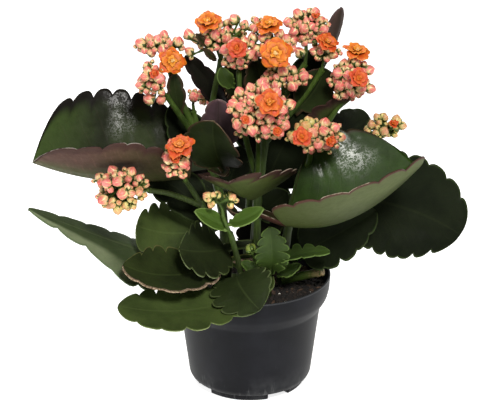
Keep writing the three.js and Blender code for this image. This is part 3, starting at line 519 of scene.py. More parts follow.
def turned(profile, sides):
    points = [onRing(r, 2 * math.pi * i / sides, z) for i in range(sides) for r, z in profile[1:-1]]
    count = len(profile) - 2
    points += [(0, 0, profile[0][1]), (0, 0, profile[-1][1])]
    low, high = len(points) - 2, len(points) - 1
    faces = []
    for i in range(sides):
        j = (i + 1) % sides
        faces += [(i * count + k, j * count + k, j * count + k + 1, i * count + k + 1)
                  for k in range(count - 1)]
        faces += [(low, j * count, i * count), (high, (i + 1) * count - 1, (j + 1) * count - 1)]
    return points, faces


def footShape(first, sweep, steps=14):
    points, faces = [], []
    count = len(pot["foot"])
    for i in range(steps + 1):
        a = math.radians(first + sweep * i / steps)
        points += [onRing(r, a, z) for r, z in pot["foot"]]
    for i in range(steps):
        faces += [(i * count + k, (i + 1) * count + k, (i + 1) * count + (k + 1) % count,
                   i * count + (k + 1) % count) for k in range(count)]
    faces += [tuple(range(count)), tuple(steps * count + k for k in reversed(range(count)))]
    return points, faces


def potFinish():
    finish, graph, here = newFinish("potPlastic")
    x, y, z = graph.split(here)
    grain = graph.noise(here, 900, 2)
    cloud = graph.noise(here, 26, 4, 0.6)
    drag = graph.noise(graph.join(x, y, z * 0.12), 240, 4, 0.65)
    low = 1 - graph.step(z, 0.004, 0.026)
    scuffs = graph.step(drag + low * 0.12 + cloud * 0.12, 0.7, 0.9) * (0.1 + 0.4 * low)
    dust = graph.step(cloud, 0.45, 0.75) * (0.01 + 0.16 * low)
    # painted highlight: the top of the rim is mixed towards a lighter grey, and it is less rough there too
    edge = graph.step(z, 0.0856, 0.0868)
    colour = graph.mix(graph.step(cloud, 0.3, 0.7), "#0d0e12", "#121319")
    colour = graph.mix(dust + scuffs * 0.55, colour, pot["scuff"])
    colour = graph.mix(edge * 0.25, colour, "#6c6e72")
    closeFinish(graph, {
        "Base Color": colour,
        "Roughness": 0.42 + 0.12 * cloud + 0.2 * scuffs - 0.14 * edge,
        "Specular IOR Level": 0.12,
    }, (grain * 0.5 + scuffs * 0.4, 0.12, 0.0004))
    return finish


def makePot():
    outside = roundedProfile([(0, 4.7), *pot["outside"], *pot["inside"], (0, 6.4)], pot["rounding"])
    body = pieceOf("pot_wall", meshOf("pot_wall", *turned(outside, pot["sides"])))
    low, high = pot["drainHeights"]
    drain = [(0, low), (pot["drainRadius"], low), (pot["drainRadius"], high), (0, high)]
    cutters = []
    for i in range(pot["drains"]):
        centre = Vector(onRing(1, 2 * math.pi * i / pot["drains"])) * pot["drainRing"]
        points, faces = turned(drain, 32)
        hole = meshOf(f"drain_{i}", [Vector(p) + centre for p in points], faces)
        cutters.append((helper(f"drain_{i}", hole), "DIFFERENCE"))
    for i in range(pot["feet"]):
        first = pot["firstGap"] + pot["footGap"] / 2 + i * 360 / pot["feet"]
        foot = footShape(first, 360 / pot["feet"] - pot["footGap"])
        cutters.append((helper(f"foot_{i}", meshOf(f"foot_{i}", *foot)), "UNION"))
    for other, operation in cutters:
        modifier = body.modifiers.new(operation, "BOOLEAN")
        modifier.object = other
        modifier.operation = operation
        modifier.solver = "EXACT"
    depsgraph = bpy.context.evaluated_depsgraph_get()
    mesh = bpy.data.meshes.new_from_object(body.evaluated_get(depsgraph), depsgraph=depsgraph)
    for thing in [body, *(other for other, operation in cutters)]:
        bpy.data.objects.remove(thing)
    mesh.polygons.foreach_set("use_smooth", [True] * len(mesh.polygons))
    mesh.set_sharp_from_angle(angle=math.radians(pot["sharpFrom"]))
    deliver(pieceOf("nursery_pot", mesh, potFinish()), "pot", "pot")


soil = {
    "rings": 44,
    "sides": 132,
    "radius": 57.2,
    "edge": 75.4,  # height at the pot's wall
    "crown": 4,
    "lump": 1.1,
    "foot": (52.5, 66),  # radius and height of the underside
    "bits": [
        # name, count, smallest and largest radius, stretch
        ("crumbs", 1500, 0.7, 1.7, (1, 0.9, 0.7)),
        ("bark_bits", 130, 1.4, 3.2, (1.5, 0.8, 0.35)),
        ("perlite_bits", 26, 0.6, 1.2, (1, 1, 0.8))],
    "bitSeed": 31,
    "shapeSeed": 5,
}


def soilHeight(x, y):
    share = math.hypot(x, y) / soil["radius"]
    lumps = noise.noise(Vector((x, y, 3)) * 0.16) + 0.5 * noise.noise(Vector((x, y, 9)) * 0.45)
    return soil["edge"] + soil["crown"] * (1 - share * share) + soil["lump"] * lumps


def soilFinish():
    finish, graph, here = newFinish("peat")
    fine = graph.noise(here, 520, 6, 0.7)
    patch = graph.noise(here, 90, 3, 0.6)
    colour = graph.mix(graph.step(fine, 0.35, 0.7), "#0b0907", "#211a15")
    colour = graph.mix(graph.step(patch, 0.55, 0.75) * 0.4, colour, "#382b22")
    closeFinish(graph, {"Base Color": colour, "Roughness": 0.82 + 0.1 * fine}, (fine, 0.9, 0.0012))
    return finish


def bitFinish():
    finish, graph, here = newFinish("barkAndPerlite")
    kind = graph.attribute("kind", "Fac")
    tint = graph.attribute("tint", "Fac")
    fibre = graph.noise(here, 700, 4, 0.7)
    crumb = graph.mix(tint, "#0e0b09", "#2d231c")
    bark = graph.mix(tint, "#35251b", "#5e4735")
    bark = graph.mix(graph.step(fibre, 0.4, 0.65) * 0.6, bark, "#2f1f17")
    colour = graph.mix(graph.step(kind, 0.4, 0.6), crumb, bark)
    colour = graph.mix(graph.step(kind, 1.4, 1.6), colour, "#d8d4ca")
    closeFinish(graph, {"Base Color": colour, "Roughness": 0.75 + 0.15 * fibre}, (fibre, 0.6, 0.0006))
    return finish


# A lump of a few faces, which the trees repeat
def chunkMesh(name, seed, stretch):
    draw = random.Random(seed)
    points = [Vector((0, 0, -1)), Vector((0, 0, 1))]
    sides = 6
    for z in (-0.5, 0.45):
        for i in range(sides):
            a = 2 * math.pi * (i + 0.5 * (z > 0)) / sides
            points.append(Vector(onRing(1, a, z)) * draw.uniform(0.72, 1.0))
    points = [Vector((p.x * stretch[0], p.y * stretch[1], p.z * stretch[2])) for p in points]
    faces = []
    for i in range(sides):
        j = (i + 1) % sides
        faces += [(0, 2 + j, 2 + i), (2 + i, 2 + j, 8 + i), (2 + j, 8 + j, 8 + i), (1, 8 + i, 8 + j)]
    return meshOf(name, points, faces)


# Instances of one shape on every point, turned to the point's aim and as big as its size says
def scatterTree(name, finish):
    tree, graph, given = newTree(name, [("Shape", "Object", None)])
    shape = graph.add("GeometryNodeObjectInfo", {}, {"Object": given.of("Shape")}, out="Geometry")
    points = graph.add("GeometryNodeMeshToPoints", {}, {"Mesh": given})
    aim, twist, size = graph.named("aim", "FLOAT_VECTOR"), graph.named("twist"), graph.named("size")
    up = graph.add("FunctionNodeAlignRotationToVector", {"axis": "Z"}, {"Vector": aim})
    spin = graph.add("FunctionNodeAxisAngleToRotation", {}, {"Axis": (0, 0, 1), "Angle": twist})
    turn = graph.add("FunctionNodeRotateRotation", {"rotation_space": "LOCAL"}, {0: up, 1: spin})
    repeated = graph.add("GeometryNodeInstanceOnPoints", {}, {
        "Points": points, "Instance": shape, "Rotation": turn, "Scale": size})
    closeTree(graph, repeated, finish)
    return tree


def pointCloud(name, entries):
    maps = {key: [entry[key] for entry in entries] for key in entries[0] if key != "at"}
    return meshOf(name, [entry["at"] for entry in entries], [], maps)


def makeSoil():
    rings, sides, radius = soil["rings"], soil["sides"], soil["radius"]
    angles = [2 * math.pi * i / sides for i in range(sides)]
    points = [(0, 0, soilHeight(0, 0))]
    for r in range(1, rings + 1):
        for a in angles:
            x, y, _ = onRing(radius * r / rings, a)
            points.append((x, y, soilHeight(x, y)))
    footRadius, bottom = soil["foot"]
    points += [onRing(footRadius, a, bottom) for a in angles]
    points.append((0, 0, bottom))
    faces = [(0, 1 + i, 1 + (i + 1) % sides) for i in range(sides)]
    for r in range(rings):
        a, b = 1 + r * sides, 1 + (r + 1) * sides
        faces += [(a + i, b + i, b + (i + 1) % sides, a + (i + 1) % sides) for i in range(sides)]
    last = len(points) - 1
    base = last - sides
    faces += [(last, base + (i + 1) % sides, base + i) for i in range(sides)]
    deliver(pieceOf("peat", meshOf("peat", points, faces), soilFinish()), "soil", "soil")

    draw = random.Random(soil["bitSeed"])
    tree = scatterTree("soilBits", bitFinish())
    for kind, (name, count, low, high, stretch) in enumerate(soil["bits"]):
        entries = []
        for _ in range(count):
            r, a = (soil["radius"] - 2) * math.sqrt(draw.random()), draw.uniform(0, 2 * math.pi)
            x, y, _ = onRing(r, a)
            entries.append({"at": (x, y, soilHeight(x, y) + 0.2), "size": draw.uniform(low, high),
                            "aim": (draw.uniform(-0.5, 0.5), draw.uniform(-0.5, 0.5), 1),
                            "twist": draw.uniform(0, 6.28), "tint": draw.random(), "kind": float(kind)})
        shape = helper(name + "_shape", chunkMesh(name + "_shape", soil["shapeSeed"] + kind, stretch))
        deliver(grow(name, pointCloud(name, entries), tree, {"Shape": shape}), "soil")
        bpy.data.objects.remove(shape)
    print("pot and soil done")


blade = {
    "middle": 1.9,
    "edge": 0.9,
    "stalkDepth": 3.4,
    "petiole": 3.2,  # half the width of the leaf stalk
    "petioleOfWidth": 0.14,  # and at most this share of the leaf's width
    "petioleShare": 0.12,  # of the leaf's length
    "petioleFade": (0.02, 0.3),  # where the stalk's thickness gives way to the blade's
    "petioleBend": 0.35,
    "smoothShare": 0.2,  # of the blade, before the first scallop
    "scallopDepth": 3.4,
    "shallowest": 0.14,
    "taper": 0.5,  # 1 is a narrow leaf, less is a blunter one
    "widest": 0.47,
    "bellyReach": 0.2,
    "crease": (0.35, 14),  # depth and sharpness of the groove over the midrib
    "rounding": 0.28,  # how far a margin stands out between its two faces
    "columns": [0, 0.16, 0.33, 0.5, 0.66, 0.8, 0.9, 0.965, 1],
    "scallopRows": [0.03, 0.1, 0.2, 0.34, 0.5, 0.66, 0.8, 0.9, 0.97, 1.0],
    "wave": 0.9,
    "pucker": 0.5,
}


def spineAt(leaf, share):
    root, middle, tip = (Vector(leaf[key]) for key in ("root", "middle", "tip"))
    control = middle * 2 - (root + tip) / 2
    if share >= 0:
        place = root.lerp(control, share).lerp(control.lerp(tip, share), share)
        return place, (control - root).lerp(tip - control, share).normalized()
    start = Vector(leaf["start"])
    bend = root - (control - root).normalized() * (root - start).length * blade["petioleBend"]
    t = 1 + share
    return start.lerp(bend, t).lerp(bend.lerp(root, t), t), (bend - start).lerp(root - bend, t).normalized()


# Half the width without and with the scallops
def halfWidths(leaf, share, side):
    stalk = min(blade["petiole"], blade["petioleOfWidth"] * leaf["width"])
    if share <= 0:
        return stalk, stalk
    along = clamp((share - blade["petioleShare"]) / (1 - blade["petioleShare"]))
    taper, widest = leaf.get("taper", blade["taper"]), leaf.get("widest", blade["widest"])
    swell = math.sin(math.pi * along ** (math.log(0.5) / math.log(widest)))
    full = leaf["width"] / 2 * max(swell, 0) ** taper
    if side < 0:
        belly, place = leaf.get("belly", (0, 0.5))
        full *= 1 + belly * math.exp(-((along - place) / blade["bellyReach"]) ** 2)
    past = max(0, (along - blade["smoothShare"]) / (1 - blade["smoothShare"]))
    phase = (past * leaf["scallops"]) % 1
    # every notch has a depth of its own
    spot = Vector((round(past * leaf["scallops"]) * 3.7 + 0.5, side * 5.3, leaf["width"] * 0.37))
    drawn = noise.noise(spot)
    depth = min(blade["scallopDepth"], blade["shallowest"] * full) * (1.1 + 1.1 * drawn)
    depth *= leaf.get("notch", 1)
    notch = depth * abs(2 * phase - 1) ** 3 if along > blade["smoothShare"] else 0
    smooth = math.hypot(full, stalk * (1 - along))
    return smooth, max(full - notch, 0) if along > blade["smoothShare"] else smooth


def bladeRows(leaf):
    shares = [-1, -0.8, -0.6, -0.4, -0.2] if "start" in leaf else []
    alongs = [0, 0.004, 0.015, 0.035, 0.065, 0.1, 0.135, 0.17]
    alongs += [blade["smoothShare"] + (1 - blade["smoothShare"]) * (k + part) / leaf["scallops"]
               for k in range(leaf["scallops"]) for part in blade["scallopRows"]]
    shares += [0, 0.03, 0.06, 0.09]
    shares += [lerp(blade["petioleShare"], 1, along) for along in alongs[:-1]]
    return shares + [lerp(blade["petioleShare"], 1, end) for end in (0.992, 0.998)]


def leafShape(leaf):
    columns = [-t for t in reversed(blade["columns"][1:])] + blade["columns"]
    draw = random.Random(str(leaf["tip"]))
    shift = Vector((draw.uniform(0, 50), draw.uniform(0, 50), 0))
    points, uses, rims, loops = [], [], [], []
    faceWay = Vector(leaf["face"])
    curl = math.radians(leaf["curl"])
    for share in bladeRows(leaf):
        place, along = spineAt(leaf, share)
        up = (faceWay - along * faceWay.dot(along)).normalized()
        across = along.cross(up)
        smooth, halfLow = halfWidths(leaf, share, -1)
        halfHigh = halfWidths(leaf, share, 1)[1]
        fold = math.radians(lerp(leaf["fold"][0], leaf["fold"][1], max(share, 0)))
        stalky = 1 - ease(share, *blade["petioleFade"])
        upper, under = [], []
        for t in columns:
            half = halfLow if t < 0 else halfHigh
            s = t * half / smooth
            angle = fold + curl * abs(s)
            side = across * math.copysign(1, t)
            upPoint = place + side * (smooth * (math.sin(angle) - math.sin(fold)) / curl) \
                + up * (smooth * (math.cos(fold) - math.cos(angle)) / curl)
            ripple = noise.noise(Vector((share * 4.5, s * 1.6, 0)) + shift) * s * s * blade["wave"]
            ripple += noise.noise(Vector((share * 16, s * 5, 7)) + shift) * blade["pucker"] * abs(s)
            ripple *= 1 - stalky
            normal = up * math.cos(angle) - side * math.sin(angle) if t else up
            upPoint = upPoint + normal * ripple
            thickness = lerp(blade["middle"], blade["edge"], abs(t))
            depth = lerp(thickness, blade["stalkDepth"] * math.sqrt(max(0.02, 1 - 0.9 * t * t)), stalky)
            crease = blade["crease"][0] * math.exp(-(s * blade["crease"][1]) ** 2)
            upper.append((upPoint - up * crease, s))
            under.append((upPoint - normal * (depth + crease), s))
        outer = []
        for end in (0, -1):
            way = (upper[end][0] - upper[1 if end == 0 else -2][0]).normalized()
            outer.append(((upper[end][0] + under[end][0]) / 2 + way * blade["rounding"], upper[end][1]))
        loop = [(*item, 1.0) for item in upper] + [(*outer[1], 0.5)]
        loop += [(*item, 0.0) for item in reversed(under)] + [(*outer[0], 0.5)]
        loops.append(len(points))
        for point, s, side in loop:
            points.append(point)
            uses.append((s, share, side))
            rims.append(max(0.0, (halfLow if s < 0 else halfHigh) - abs(s) * smooth))
    count = len(loop)
    width = len(columns)
    faces = []
    for a, b in zip(loops, loops[1:]):
        faces += [(a + k, a + (k + 1) % count, b + (k + 1) % count, b + k) for k in range(count)]
    for base, turn in ((loops[0], False), (loops[-1], True)):
        caps = [(base + count - 1, base + count - 2, base)]
        caps += [(base + k, base + k + 1, base + count - 3 - k, base + count - 2 - k)
                 for k in range(width - 1)]
        caps += [(base + width - 1, base + width, base + width + 1)]
        faces += caps if turn else [tuple(reversed(cap)) for cap in caps]
    return points, faces, {"leafMap": uses, "rimGap": rims}


# What a leaf of each look is painted with: two greens for the upper face, two for the underside, the margins
# of both, the margin's width in millimetres, roughness, specular level and frost
def lookOf(colours, rimWidth, gloss, sheen, frost, **more):
    keys = ("upper", "deep", "under", "underDeep", "rim", "underRim")
    return {**dict(zip(keys, colours.split())), "rimWidth": rimWidth, "gloss": gloss, "sheen": sheen,
            "frost": frost, **more}


# glint is the colour of a painted highlight along the margins, and the grey look's pale stripe that of a
# painted lit band
leafLooks = {
    "folded": lookOf("#2c3619 #14150d #513c34 #474a2b #14110d #43302b", 16, 0.4, 0.06, 0.5, glint="#a89f97",
        tipGreen="#3a4b22", streaks="#6b5145", wax=(0.4, 0.6, 0.2)),
    "glossy": lookOf("#2f4716 #19250b #515a34 #343c1a #2c2416 #4a3029", 5, 0.36, 0.08, 0.15,
        glint="#b3a894", wax=(0.42, 0.86, 0.36)),
    "shaded": lookOf("#181e10 #0d1209 #282f1a #212815 #2f3a1f #364021", 1.6, 0.5, 0.04, 0.0),
    "bowl": lookOf("#1f270f #111609 #454e27 #39431e #33251d #3e2b26", 11, 0.4, 0.08, 0.1, glint="#a19484"),
    "deep": lookOf("#273116 #141a0a #3d4726 #343e1f #3a2e20 #443328", 2.4, 0.42, 0.08, 0.1,
        glint="#8b7a66"),
    "purple": lookOf("#2a2a20 #1b1a15 #58444a #4a3a3d #5b4648 #6b5355", 3, 0.36, 0.14, 0.2,
        glint="#b9a9ab"),
    "dusky": lookOf("#1a1a14 #0f0f0c #2a211e #221c18 #221a18 #2a1f1e", 3, 0.5, 0.05, 0.0),
    "brown": lookOf("#2a231d #1c1814 #43352f #352a24 #3b2d2b #4a3936", 3, 0.45, 0.08, 0.0),
    "grey": lookOf("#3f4b30 #2a351e #66704f #56613f #5d6b4d #66755a", 1.6, 0.42, 0.1, 0.3,
        stripe="#8f9b78"),
    "corky": lookOf("#303a1c #1b220f #4b5a30 #415029 #5f5f38 #6a6a3e", 1.2, 0.42, 0.08, 0.1, cork=1.0),
    "fresh": lookOf("#45532a #2c371a #566638 #4a5a30 #4d5a2e #64713f", 0.9, 0.42, 0.08, 0.1,
        glint="#9aa376"),
    "paleEdged": lookOf("#252d17 #13180b #424e2b #394524 #444f2c #59643c", 1.0, 0.42, 0.08, 0.1,
        glint="#98a27c"),
    "rim": lookOf("#2a341a #1a210f #4d5a32 #424f2a #4b5633 #616c43", 1.0, 0.42, 0.08, 0.35),
    "young": lookOf("#3a4e1f #212f0f #4c6130 #3e5122 #52682f #5c7138", 0.7, 0.36, 0.14, 0.1),
    "bract": lookOf("#4a6426 #304415 #5f7639 #4c632a #637a3c #6d8446", 0.7, 0.38, 0.14, 0.1),
}


def leafFinish(name, look):
    finish, graph, here = newFinish(name)
    s, share, side = graph.split(graph.attribute("leafMap"))
    rimGap = graph.attribute("rimGap", "Fac")
    cloud = graph.noise(here, 34, 3, 0.55)
    mottle = graph.noise(here, 210, 4, 0.6)
    speckle = graph.noise(here, 760, 3, 0.6)
    grain = graph.noise(here, 1500, 2, 0.5)
    away = abs(s)
    # the side veins run forward from the midrib
    run = (share - away * 0.34 + cloud * 0.05) * 9
    vein = 1 - graph.step(abs(run.math("FRACT") - 0.5), 0.0, 0.09)
    vein = vein * graph.step(away, 0.02, 0.08) * (1 - graph.step(away, 0.55, 0.9))
    midrib = 1 - graph.step(away, 0.012, 0.045)
    isUpper = graph.step(side, 0.4, 0.6)
    shade = graph.step(cloud, 0.35, 0.68)
    upper = graph.mix(shade * 0.75, look["upper"], look["deep"])
    if "tipGreen" in look:
        upper = graph.mix(graph.step(share + cloud * 0.2, 0.75, 1.05), upper, look["tipGreen"])
    # painted light: a pale band on the near half of the blade, where that half catches the light
    if "stripe" in look:
        litBand = (1 - graph.step(s + (cloud - 0.5) * 0.2, -0.62, -0.36)) * graph.step(share, 0.42, 0.66)
        upper = graph.mix(litBand * 0.6, upper, look["stripe"])
    upper = graph.mix(vein * 0.05 + midrib * 0.25, upper, look["under"])
    under = graph.mix(graph.step(away + cloud * 0.5, 0.3, 0.85), look["underDeep"], look["under"])
    under = graph.mix((1 - graph.step(share + cloud * 0.2, 0.35, 0.95)) * 0.6, under, look["underDeep"])
    under = graph.mix(midrib * 0.35 + vein * 0.1, under, look["upper"])
    if "streaks" in look:
        streak = graph.noise(graph.join(share * 60 - away * 14, away * 4, 0.0), 1.0, 3, 0.6)
        under = graph.mix(graph.step(streak, 0.5, 0.75) * 0.55, under, look["streaks"])
    rimEdge = 1 - graph.step(rimGap + (mottle - 0.5) * 0.8, look["rimWidth"] * 0.25, look["rimWidth"])
    upper = graph.mix(rimEdge, upper, look["rim"])
    under = graph.mix(rimEdge, under, look["underRim"])
    colour = graph.mix(isUpper, under, upper)
    colour = graph.mix(graph.step(mottle, 0.35, 0.75) * 0.16, colour, look["deep"])
    if "cork" in look:
        torn = graph.step(rimGap + (mottle - 0.5) * 3.2, 1.2, 3.4)
        fibres = graph.noise(here, 900, 5, 0.75)
        cork = graph.mix(graph.step(fibres, 0.4, 0.62), "#5e4a38", "#b6a189")
        corkHere = (1 - torn) * graph.step(-s, 0.3, 0.6)
        colour = graph.mix(corkHere, colour, cork)
    # painted highlight: a pale glint along the rounded margin, broken into patches by noise
    if "glint" in look:
        paintedGlint = (1 - graph.step(abs(side - 0.5), 0.1, 0.42)) * graph.step(cloud + mottle * 0.6, 0.78, 0.94)
        colour = graph.mix(paintedGlint * 0.75, colour, look["glint"])
    pitted = graph.add("ShaderNodeTexVoronoi", {"feature": "SMOOTH_F1"}, {"Vector": here, "Scale": 620})
    frost = graph.step(mottle + cloud * 0.4, 0.62, 0.9) * look["frost"]
    # the wax shines where the blade bulges
    low, high, shine = look.get("wax", (0.1, 0.9, 0.08))
    along = share + (cloud - 0.5) * 0.6
    across = away + (cloud - 0.5) * 0.5
    waxed = graph.step(along, low - 0.1, low + 0.1) * (1 - graph.step(along, high - 0.1, high + 0.1))
    waxed = waxed * graph.step(across, 0.25, 0.6) * (1 - graph.step(across, 0.84, 1.0)) * isUpper
    waxed = waxed * (0.1 + 0.9 * graph.step(speckle * 0.6 + mottle * 0.5, 0.5, 0.6)) * shine
    bump = pitted * 0.3 + speckle * 0.7 + mottle * 0.5 + grain * 0.15 - vein * 0.3 - midrib * 0.6
    closeFinish(graph, {
        "Base Color": colour,
        "Roughness": look["gloss"] + 0.1 * mottle + 0.1 * speckle + frost * 0.12 + (1 - isUpper) * 0.16,
        "Specular IOR Level": look["sheen"],
        "Coat Weight": waxed,
        "Coat Roughness": 0.2,
    }, (bump, 0.26, 0.0005), (0.05, (0.4, 1.0, 0.2), 0.002))
    return finish


leafFinishes = {}


def leafPaint(key):
    if key not in leafFinishes:
        leafFinishes[key] = leafFinish("leaf_" + key, leafLooks[key])
    return leafFinishes[key]


def bladePiece(name, leaf, *nodes):
    points, faces, maps = leafShape(leaf)
    piece = pieceOf(name, meshOf(name, points, faces, maps), leafPaint(leaf["look"]))
    deliver(piece, "leaf", *nodes)
    return points, faces


def makeLeaves():
    trees = []
    for name, leaf in leafPlan.items():
        points, faces = bladePiece("blade_" + name, leaf, "leaf_" + name)
        trees.append(BVHTree.FromPolygons([Vector(p) for p in points], faces))
    print("leaves:", len(leafPlan))
    return trees


stalk = {
    "sides": 14,
    "steps": 12,
    "taper": 0.3,
    "start": 0.6,  # a flower stalk's girth at its stem and at its fork, as shares of the stem's
    "end": 0.45,
    "endSwell": 0.25,
    "knots": 26,  # millimetres between two knots on a stem
    "knotShift": 9,
    "knotLength": 1.9,
    "knotSwell": 0.22,
    "greenFrom": (80, 170),  # heights between which a stem turns from old to young
    "hue": 0.9,
    "stubSteps": 8,
}


# A smooth way through points, as the trunk's and the stalks' solids take it
def smoothPath(points, steps):
    points = [Vector(p) for p in points]
    padded = [points[0] * 2 - points[1], *points, points[-1] * 2 - points[-2]]
    path = []
    for a, b, c, d in zip(padded, padded[1:], padded[2:], padded[3:]):
        for i in range(steps):
            t = i / steps
            path.append(0.5 * ((2 * b) + (c - a) * t + (2 * a - 5 * b + 4 * c - d) * t * t
                               + (3 * b - a - 3 * c + d) * t * t * t))
    return path + [points[-1]]


# Lines with a girth at every point, as one mesh of loose edges
class Lines:
    def __init__(self):
        self.points, self.edges, self.girths, self.hues = [], [], [], []

    def add(self, path, girths, hues):
        first = len(self.points)
        self.points += list(path)
        self.girths += [float(g) for g in girths]
        self.hues += [float(h) for h in hues]
        self.edges += [(first + i, first + i + 1) for i in range(len(path) - 1)]

    def mesh(self, name):
        mesh = bpy.data.meshes.new(name)
        mesh.from_pydata([p * mm for p in self.points], self.edges, [])
        for key, values in (("girth", [g * mm for g in self.girths]), ("hue", self.hues)):
            layer = mesh.attributes.new(key, "FLOAT", "POINT")
            layer.data.foreach_set("value", values)
        return mesh


def tubeTree(name, finish):
    tree, graph, given = newTree(name, [("Sides", "Int", 8)])
    curve = graph.add("GeometryNodeMeshToCurve", {}, {"Mesh": given})
    ring = graph.add("GeometryNodeCurvePrimitiveCircle", {"mode": "RADIUS"}, {0: given.of("Sides"), 4: 1.0})
    tube = graph.add("GeometryNodeCurveToMesh", {}, {
        "Curve": curve, "Profile Curve": ring, "Scale": graph.named("girth"), "Fill Caps": True})
    closeTree(graph, tube, finish)
    return tree


def stemFinish():
    finish, graph, here = newFinish("stemSkin")
    hue = graph.attribute("hue", "Fac")
    x, y, z = graph.split(here)
    cloud = graph.noise(here, 60, 3)
    fibre = graph.noise(graph.join(x, y, z * 0.12), 900, 3, 0.6)
    young = graph.mix(graph.step(cloud, 0.35, 0.7), "#435921", "#304217")
    old = graph.mix(graph.step(cloud, 0.35, 0.7), "#303e1b", "#232a14")
    colour = graph.mix(graph.step(hue, 0.2, 1.0), old, young)
    colour = graph.mix(graph.step(fibre, 0.45, 0.75) * 0.2, colour, "#76884a")
    cut = graph.step(hue, 1.4, 1.9)
    colour = graph.mix(cut * graph.step(fibre + cloud * 0.3, 0.5, 0.7), colour, "#8a7355")
    closeFinish(graph, {
        "Base Color": colour,
        "Roughness": 0.42 + 0.16 * fibre,
        "Specular IOR Level": 0.2,
    }, (fibre, 0.25, 0.0004), (0.1, (0.5, 1.0, 0.2), 0.0015))
    return finish


def stemLines(stem):
    lines = Lines()
    trunk = smoothPath(stem["trunk"], stalk["steps"])
    count = len(trunk) - 1
    run, travelled = 0.0, [0.0]
    for a, b in zip(trunk, trunk[1:]):
        run += (b - a).length
        travelled.append(run)
    girths = []
    for i, way in enumerate(travelled):
        fromKnot = (way + stalk["knotShift"]) % stalk["knots"] - stalk["knots"] / 2
        swell = math.exp(-(fromKnot / stalk["knotLength"]) ** 2)
        girths.append(stem["radius"] * (1 - stalk["taper"] * i / count) * (1 + stalk["knotSwell"] * swell))
    lines.add(trunk, girths, [ease(p.z, *stalk["greenFrom"]) for p in trunk])
    for headName, bend in stem.get("stalks", {}).items():
        path = smoothPath([trunk[-3], bend, headPlan[headName]["fork"]], stalk["steps"])
        last = len(path) - 1
        girths = [stem["radius"] * lerp(stalk["start"], stalk["end"], i / last)
                  * (1 + stalk["endSwell"] * math.exp(-((last - i) / 1.5) ** 2)) for i in range(last + 1)]
        lines.add(path, girths, [stem.get("stalkHue", stalk["hue"])] * (last + 1))
    if "stub" in stem:
        start, end, radius = stem["stub"]
        steps = range(stalk["stubSteps"] + 1)
        path = [Vector(start).lerp(Vector(end), i / stalk["stubSteps"]) for i in steps]
        # a hue past 1 is bare wood
        girths = [radius * (0.96 + 0.05 * math.sin(i * 2.1)) for i in steps]
        lines.add(path, girths, [1.0 + 0.1 * i for i in steps])
    return lines


def makeStems():
    tree = tubeTree("stemTubes", stemFinish())
    for node, stem in stemPlan.items():
        short = node.replace("stem_", "")
        pieceName, bractName = stem.get("names", ("stalks_" + short, "bract_" + short))
        sides = {"Sides": stem.get("sides", stalk["sides"])}
        deliver(grow(pieceName, stemLines(stem).mesh(node), tree, sides), "stem", node)
        for i, bract in enumerate(stem.get("bracts", [])):
            bladePiece(f"{bractName}_{i}", bract, node)
    for i, leaf in enumerate(smallLeaves):
        bladePiece(f"small_leaf_{i}", leaf)
    print("stems:", len(stemPlan))
    return tree


bud = {
    "sides": 8,
    # height and radius along a bud one millimetre in radius
    "profile": [(0, 0.34), (0.2, 0.74), (0.58, 0.98), (1.02, 1.0), (1.45, 0.8), (1.78, 0.47), (1.98, 0.17)],
    "tip": 2.06,
    "lobes": 0.07,
    "sepals": 4,
    # radius in mm, tries for each cyme, widest angle from the cyme's own axis and deepest sink in mm
    "sizes": [(3.9, 10, 40, 0.8), (3.4, 60, 85, 2.0), (2.85, 60, 105, 2.8), (2.3, 50, 115, 3.2),
              (1.7, 22, 125, 3.4)],
    "vary": (0.9, 1.1),  # of the radius
    "middleAt": 1.15,  # radii behind the tip
    "crowding": 0.86,
    "cyme": 7.6,  # radius of one small bunch of a head
    "cymeGap": 7.0,
    "cymeTries": 900,
    "shrink": 2.8,  # how far a bunch may stand back from the head's surface
    "largeFrom": 3.0,
    "ceiling": 289.6,
    "reach": 132,  # degrees from the head's axis to its lowest buds
    "smallerFrom": 100,  # degrees from the axis past which there are no large buds
    "firstSeed": 211,
    "seedStep": 13,
    "tuftSeed": 711,
    # a sepal's corners as (out from the bud's axis, across, up), foot first
    "sepal": [(0.25, -0.3, -0.06), (0.25, 0.3, -0.06), (0.98, 0.34, 0.42), (1.06, 0, 1.1),
              (0.98, -0.34, 0.42), (0.7, 0, 0.5)],
}

sprig = {
    "sides": 5,
    "knotReach": 6.5,  # buds this close share a knot
    "knotAt": (0.35, 0.75),  # of the way from the centre to a bud, then from the fork to there
    "wander": 0.8,
    "bend": (0.55, -1.2),  # share of a bud's stalk where it bends, and how far it bends back
    "girths": [1.5, 1.2, 1.0],
    "thin": (0.5, 0.1),  # a bud's own stalk, and more of it for a bigger bud
    "foot": 0.34,
}


